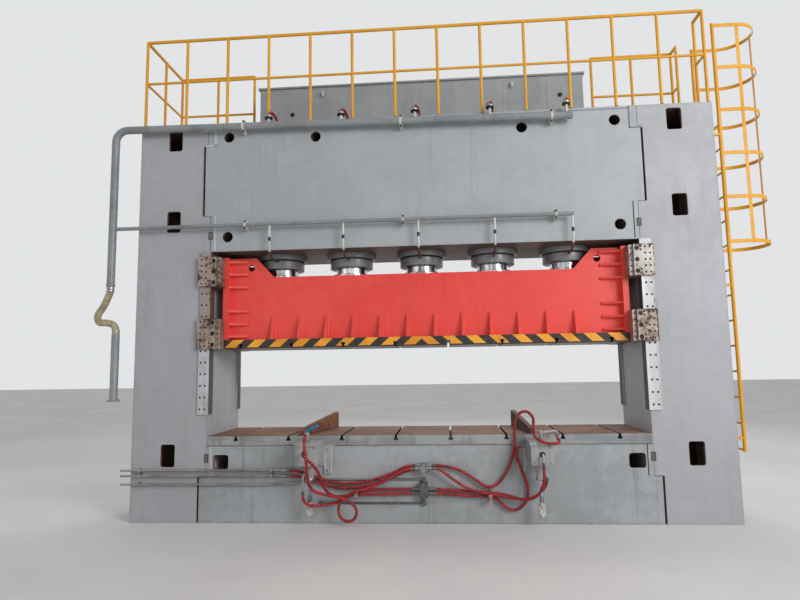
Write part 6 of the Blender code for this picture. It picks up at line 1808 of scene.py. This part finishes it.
@dataclass
class SideStations:
    """The port blocks and the two stations with their posts, valves and rams."""

    left_middle: float = -1.3275
    right_middle: float = 1.3325
    post_y: float = -0.86
    ram_y: float = -0.75

    def build(self) -> None:
        """Dresses the blocks and stations and adds their fittings and rams."""
        MAKER.dressed("upper_hose_block", ZINC, bevel=0.002)
        MAKER.dressed("lower_hose_block", CRIMP, bevel=0.002)
        screws = [(x, -0.69, z) for x in (-0.03, 0.03) for z in (0.612, 0.688)]
        screws += [(x, -0.66, z) for x in (-0.03, 0.03) for z in (0.33, 0.47)]
        heads = cap_screw(0.008, 0.006).facing(Axis.Y, -1).at(screws)
        MAKER.piece("block_screws", heads, BLACK_STEEL, smooth=False)
        MAKER.dressed("left_station", STATION_PAINT, bevel=0.003)
        MAKER.dressed("right_station", STATION_PAINT, bevel=0.003)
        self.fittings("left", self.left_middle, 1, (self.left_middle - 0.0175, -0.9402, 0.863))
        self.ram("left", self.left_middle, Body.LEFT_RAM)
        self.fittings("right", self.right_middle, -1, (self.right_middle + 0.0025, -0.9402, 0.84))
        self.ram("right", self.right_middle, Body.RIGHT_RAM)
        self.lever()

    def fittings(self, side: str, x: float, inward: int, mouth: Point) -> None:
        """Post sleeve, collars on the box, its screws and the bracket's bolts of one station.

        Args:
            side: Which station.
            x: Its middle.
            inward: Sign of X towards the press's middle.
            mouth: Place of the union on the box.
        """
        post = [(0.026, 0.9805), (0.026, 0.995), (0.0185, 0.998), (0.0185, 1.045), (0.024, 1.048),
                (0.024, 1.092), (0.020, 1.095)]
        housing = [(0.050, 0.528), (0.0555, 0.531), (0.0555, 0.56), (0.052, 0.565), (0.052, 0.60)]
        sleeve = [turned(post, 20, (x, self.post_y, 0.0)), turned(housing, 24, (x, self.ram_y, 0.0))]
        MAKER.piece(f"{side}_post_sleeve", sleeve, ZINC)
        box = [(a, -0.9405, z) for a in (x - 0.09, x + 0.09) for z in (0.745, 0.925)]
        edge = -inward * 1.33
        bracket = [(edge + inward * 0.17, -0.5805, z) for z in (0.615, 0.865)]
        for name, head, spots in (
            ("box_screws", bolt(0.010, 0.007), box), ("bracket_bolts", bolt(0.013, 0.010), bracket)
        ):
            MAKER.piece(f"{side}_{name}", head.facing(Axis.Y, -1).at(spots), ZINC, smooth=False)
        lines = [edge + inward * shift for shift in (0.150, 0.225)]
        # Pale bars at the bracket's edges: painted highlights.
        bars = [block((a - 0.006, -0.587, 0.585), (a + 0.006, -0.5795, 0.885), 0.001) for a in lines]
        MAKER.piece(f"{side}_bracket_edge_highlights", bars, PAINTED_HIGHLIGHT, smooth=False)
        ends = sorted((edge + inward * 0.140, edge + inward * 0.235))
        foot = block((ends[0], -0.580, 0.580), (ends[1], -0.5603, 0.676))
        MAKER.piece(f"{side}_bracket_foot", foot, STATION_PAINT, smooth=False)
        union = turned([(0.030, 0.0), (0.030, 0.016), (0.022, 0.020), (0.022, 0.030)], 12).facing(Axis.Y, -1)
        MAKER.piece(f"{side}_box_union", union.at([mouth]), BLACK_STEEL)

    def ram(self, side: str, x: float, body: Body) -> None:
        """The station's rod, with a silver coupling and a crumpled wrap on its lower end.

        The wrap's radius is R (1 + 0.20 sin(3 a + 40 z) + 0.12 sin(5 a - 90 z)), drawn in
        at both ends.

        Args:
            side: Which station.
            x: Its middle.
            body: The body that moves.
        """
        axis = (x, self.ram_y, 0.0)
        rod = turned([(0.0128, 0.20), (0.0128, 0.679), (0.011, 0.68)], 20, axis)
        MAKER.piece(f"{side}_ram_rod", rod, CHROME, body, replaces=(f"{side}_ram",))
        coupling = [(0.022, 0.285), (0.024, 0.288), (0.024, 0.335), (0.020, 0.338), (0.020, 0.36), (0.0135, 0.362)]
        MAKER.piece(f"{side}_ram_coupling", turned(coupling, 6, axis), ZINC, body)
        z = np.linspace(0.121, 0.287, 34)[:, None]
        a = angles(24)[None]
        ends = np.clip(np.minimum((z - 0.118) / 0.02, (0.292 - z) / 0.03), 0.25, 1.0) ** 0.5
        size = 0.034 * ends * (1 + 0.20 * np.sin(3 * a + 40 * z) + 0.12 * np.sin(5 * a - 90 * z))
        path = [(x, self.ram_y, float(level)) for level in z[:, 0]]
        MAKER.piece(f"{side}_ram_wrap", tube(path, size, 24), WRAP, body)

    def lever(self) -> None:
        """The left post's valve: a pale body across the post and a tilted blue lever."""
        x, y, z = self.left_middle, self.post_y, 1.07
        body = [
            tube([(x, y + near, z), (x, y + far, z)], radius, sides)
            for near, far, radius, sides in ((0.012, -0.072, 0.0215, 16), (-0.02, -0.05, 0.027, 8))
        ]
        MAKER.piece("left_valve_body", body, WHITE_PAINT)
        y -= 0.035
        stem = turned([(0.009, z), (0.009, z + 0.030), (0.006, z + 0.034)], 12, (x, y, 0.0))
        collar = tube([(x + 0.045, y, z + 0.063), (x + 0.058, y, z + 0.070)], 0.0125, 12)
        MAKER.piece("left_valve_stem", [stem, collar], ZINC)
        handle = even(np.array([(x - 0.015, y, z + 0.032), (x + 0.130, y, z + 0.102)]), 0.013)
        swell = 0.017 * (1 + 0.15 * np.sin(np.linspace(0.0, math.pi, len(handle))))
        MAKER.piece("left_valve_lever", tube(handle, swell, 12), BLUE_PAINT)


@dataclass
class Studio:
    """Camera, floor, world and lamps."""

    lens: float = 27.03
    eye: Point = (0.3095, -7.841, 1.813)
    pitch: float = 6.488
    yaw: float = -4.395
    roll: float = -0.914
    ambient: float = 0.48
    lamps: tuple[tuple[str, Point, Point, float], ...] = (
        ("key_lamp", (9.5, -11.0, 7.0), (0.5, 0.0, 2.4), 1150.0),
        ("fill_lamp", (-9.0, -10.0, 6.0), (0.0, 0.0, 2.6), 36.0),
        ("rear_lamp", (1.0, 9.0, 9.0), (0.0, 0.0, 3.0), 360.0),
    )
    lamp_size: float = 6.0

    def camera(self) -> None:
        """Stands where the photograph was taken: pitched up, a little turned and rolled."""
        pitch, yaw, roll = (math.radians(a) for a in (self.pitch, self.yaw, self.roll))
        ahead = Vector((math.sin(yaw) * math.cos(pitch), math.cos(yaw) * math.cos(pitch), math.sin(pitch)))
        level = Vector((math.cos(yaw), -math.sin(yaw), 0.0))
        over = level.cross(ahead)
        right = math.cos(roll) * level + math.sin(roll) * over
        up = math.cos(roll) * over - math.sin(roll) * level
        lens = bpy.data.cameras.new("camera")
        lens.lens, lens.sensor_width = self.lens, 36.0
        lens.clip_start, lens.clip_end = 0.05, 500.0
        item = MAKER.placed("camera", lens)
        item.matrix_world = Matrix((right, up, -ahead)).transposed().to_4x4()
        item.location = self.eye
        bpy.context.scene.camera = item

    def build(self) -> None:
        """Lays a wide pale floor with faint clouds, and sets the world and the soft square lamps."""
        net = Net("studio_floor")
        cloud = net.noise(0.35, 4.0).ramp(0.35, 0.65)
        colour = net.mix(cloud, (224, 224, 222), (216, 216, 215))
        mesh = bpy.data.meshes.new("studio_floor")
        half, level = 60.0, -0.0005
        corners = [(-half, -half, level), (half, -half, level), (half, half, level), (-half, half, level)]
        mesh.from_pydata(corners, [], [(0, 1, 2, 3)])
        sockets = {"Base Color": colour, "Roughness": cloud * 0.1 + 0.7}
        mesh.materials.append(net.finish(sockets, cloud, 0.0, 0.001))
        MAKER.placed("studio_floor", mesh)
        self.world()
        for name, place, target, power in self.lamps:
            data = bpy.data.lights.new(name, "AREA")
            data.size, data.energy = self.lamp_size, power
            item = MAKER.placed(name, data)
            item.location = place
            item.rotation_euler = (Vector(target) - Vector(place)).to_track_quat("-Z", "Y").to_euler()

    def world(self) -> None:
        """Even grey light, and a pale background for the camera, gloss and glass."""
        world = bpy.data.worlds.new("studio")
        world.use_nodes = True
        tree = world.node_tree
        tree.nodes.clear()
        kinds = ("LightPath", "Background", "Background", "Math", "Math", "MixShader", "OutputWorld")
        path, light, seen, both, every, blend, out = (tree.nodes.new("ShaderNode" + kind) for kind in kinds)
        light.inputs[0].default_value, light.inputs[1].default_value = (1.0, 1.0, 1.0, 1.0), self.ambient
        seen.inputs[0].default_value, seen.inputs[1].default_value = screen((226, 228, 230)), 1.0
        both.operation = every.operation = "MAXIMUM"
        links = (
            (path.outputs["Is Camera Ray"], both.inputs[0]),
            (path.outputs["Is Glossy Ray"], both.inputs[1]),
            (both.outputs[0], every.inputs[0]),
            (path.outputs["Is Transmission Ray"], every.inputs[1]),
            (every.outputs[0], blend.inputs[0]),
            (light.outputs[0], blend.inputs[1]),
            (seen.outputs[0], blend.inputs[2]),
            (blend.outputs[0], out.inputs[0]),
        )
        for source, target in links:
            tree.links.new(source, target)
        bpy.context.scene.world = world


def main() -> None:
    """Builds the studio and every sub-assembly in order."""
    logging.basicConfig(level=logging.INFO, format="%(message)s")
    bpy.context.scene.view_settings.view_transform = "Standard"
    studio = Studio()
    studio.camera()
    for group in (
        SpiralHoses(), PressFrame(), PressTable(), SlideUnit(), CylinderRow(), GuideSet(), Roof(), SideLadder(),
        Pipework(), SideStations(),
    ):
        count, triangles = MAKER.count, MAKER.triangles
        group.build()
        LOG.info(
            "%s: %d pieces, %d triangles", type(group).__name__, MAKER.count - count, MAKER.triangles - triangles
        )
    studio.build()


if __name__ == "__main__":
    main()
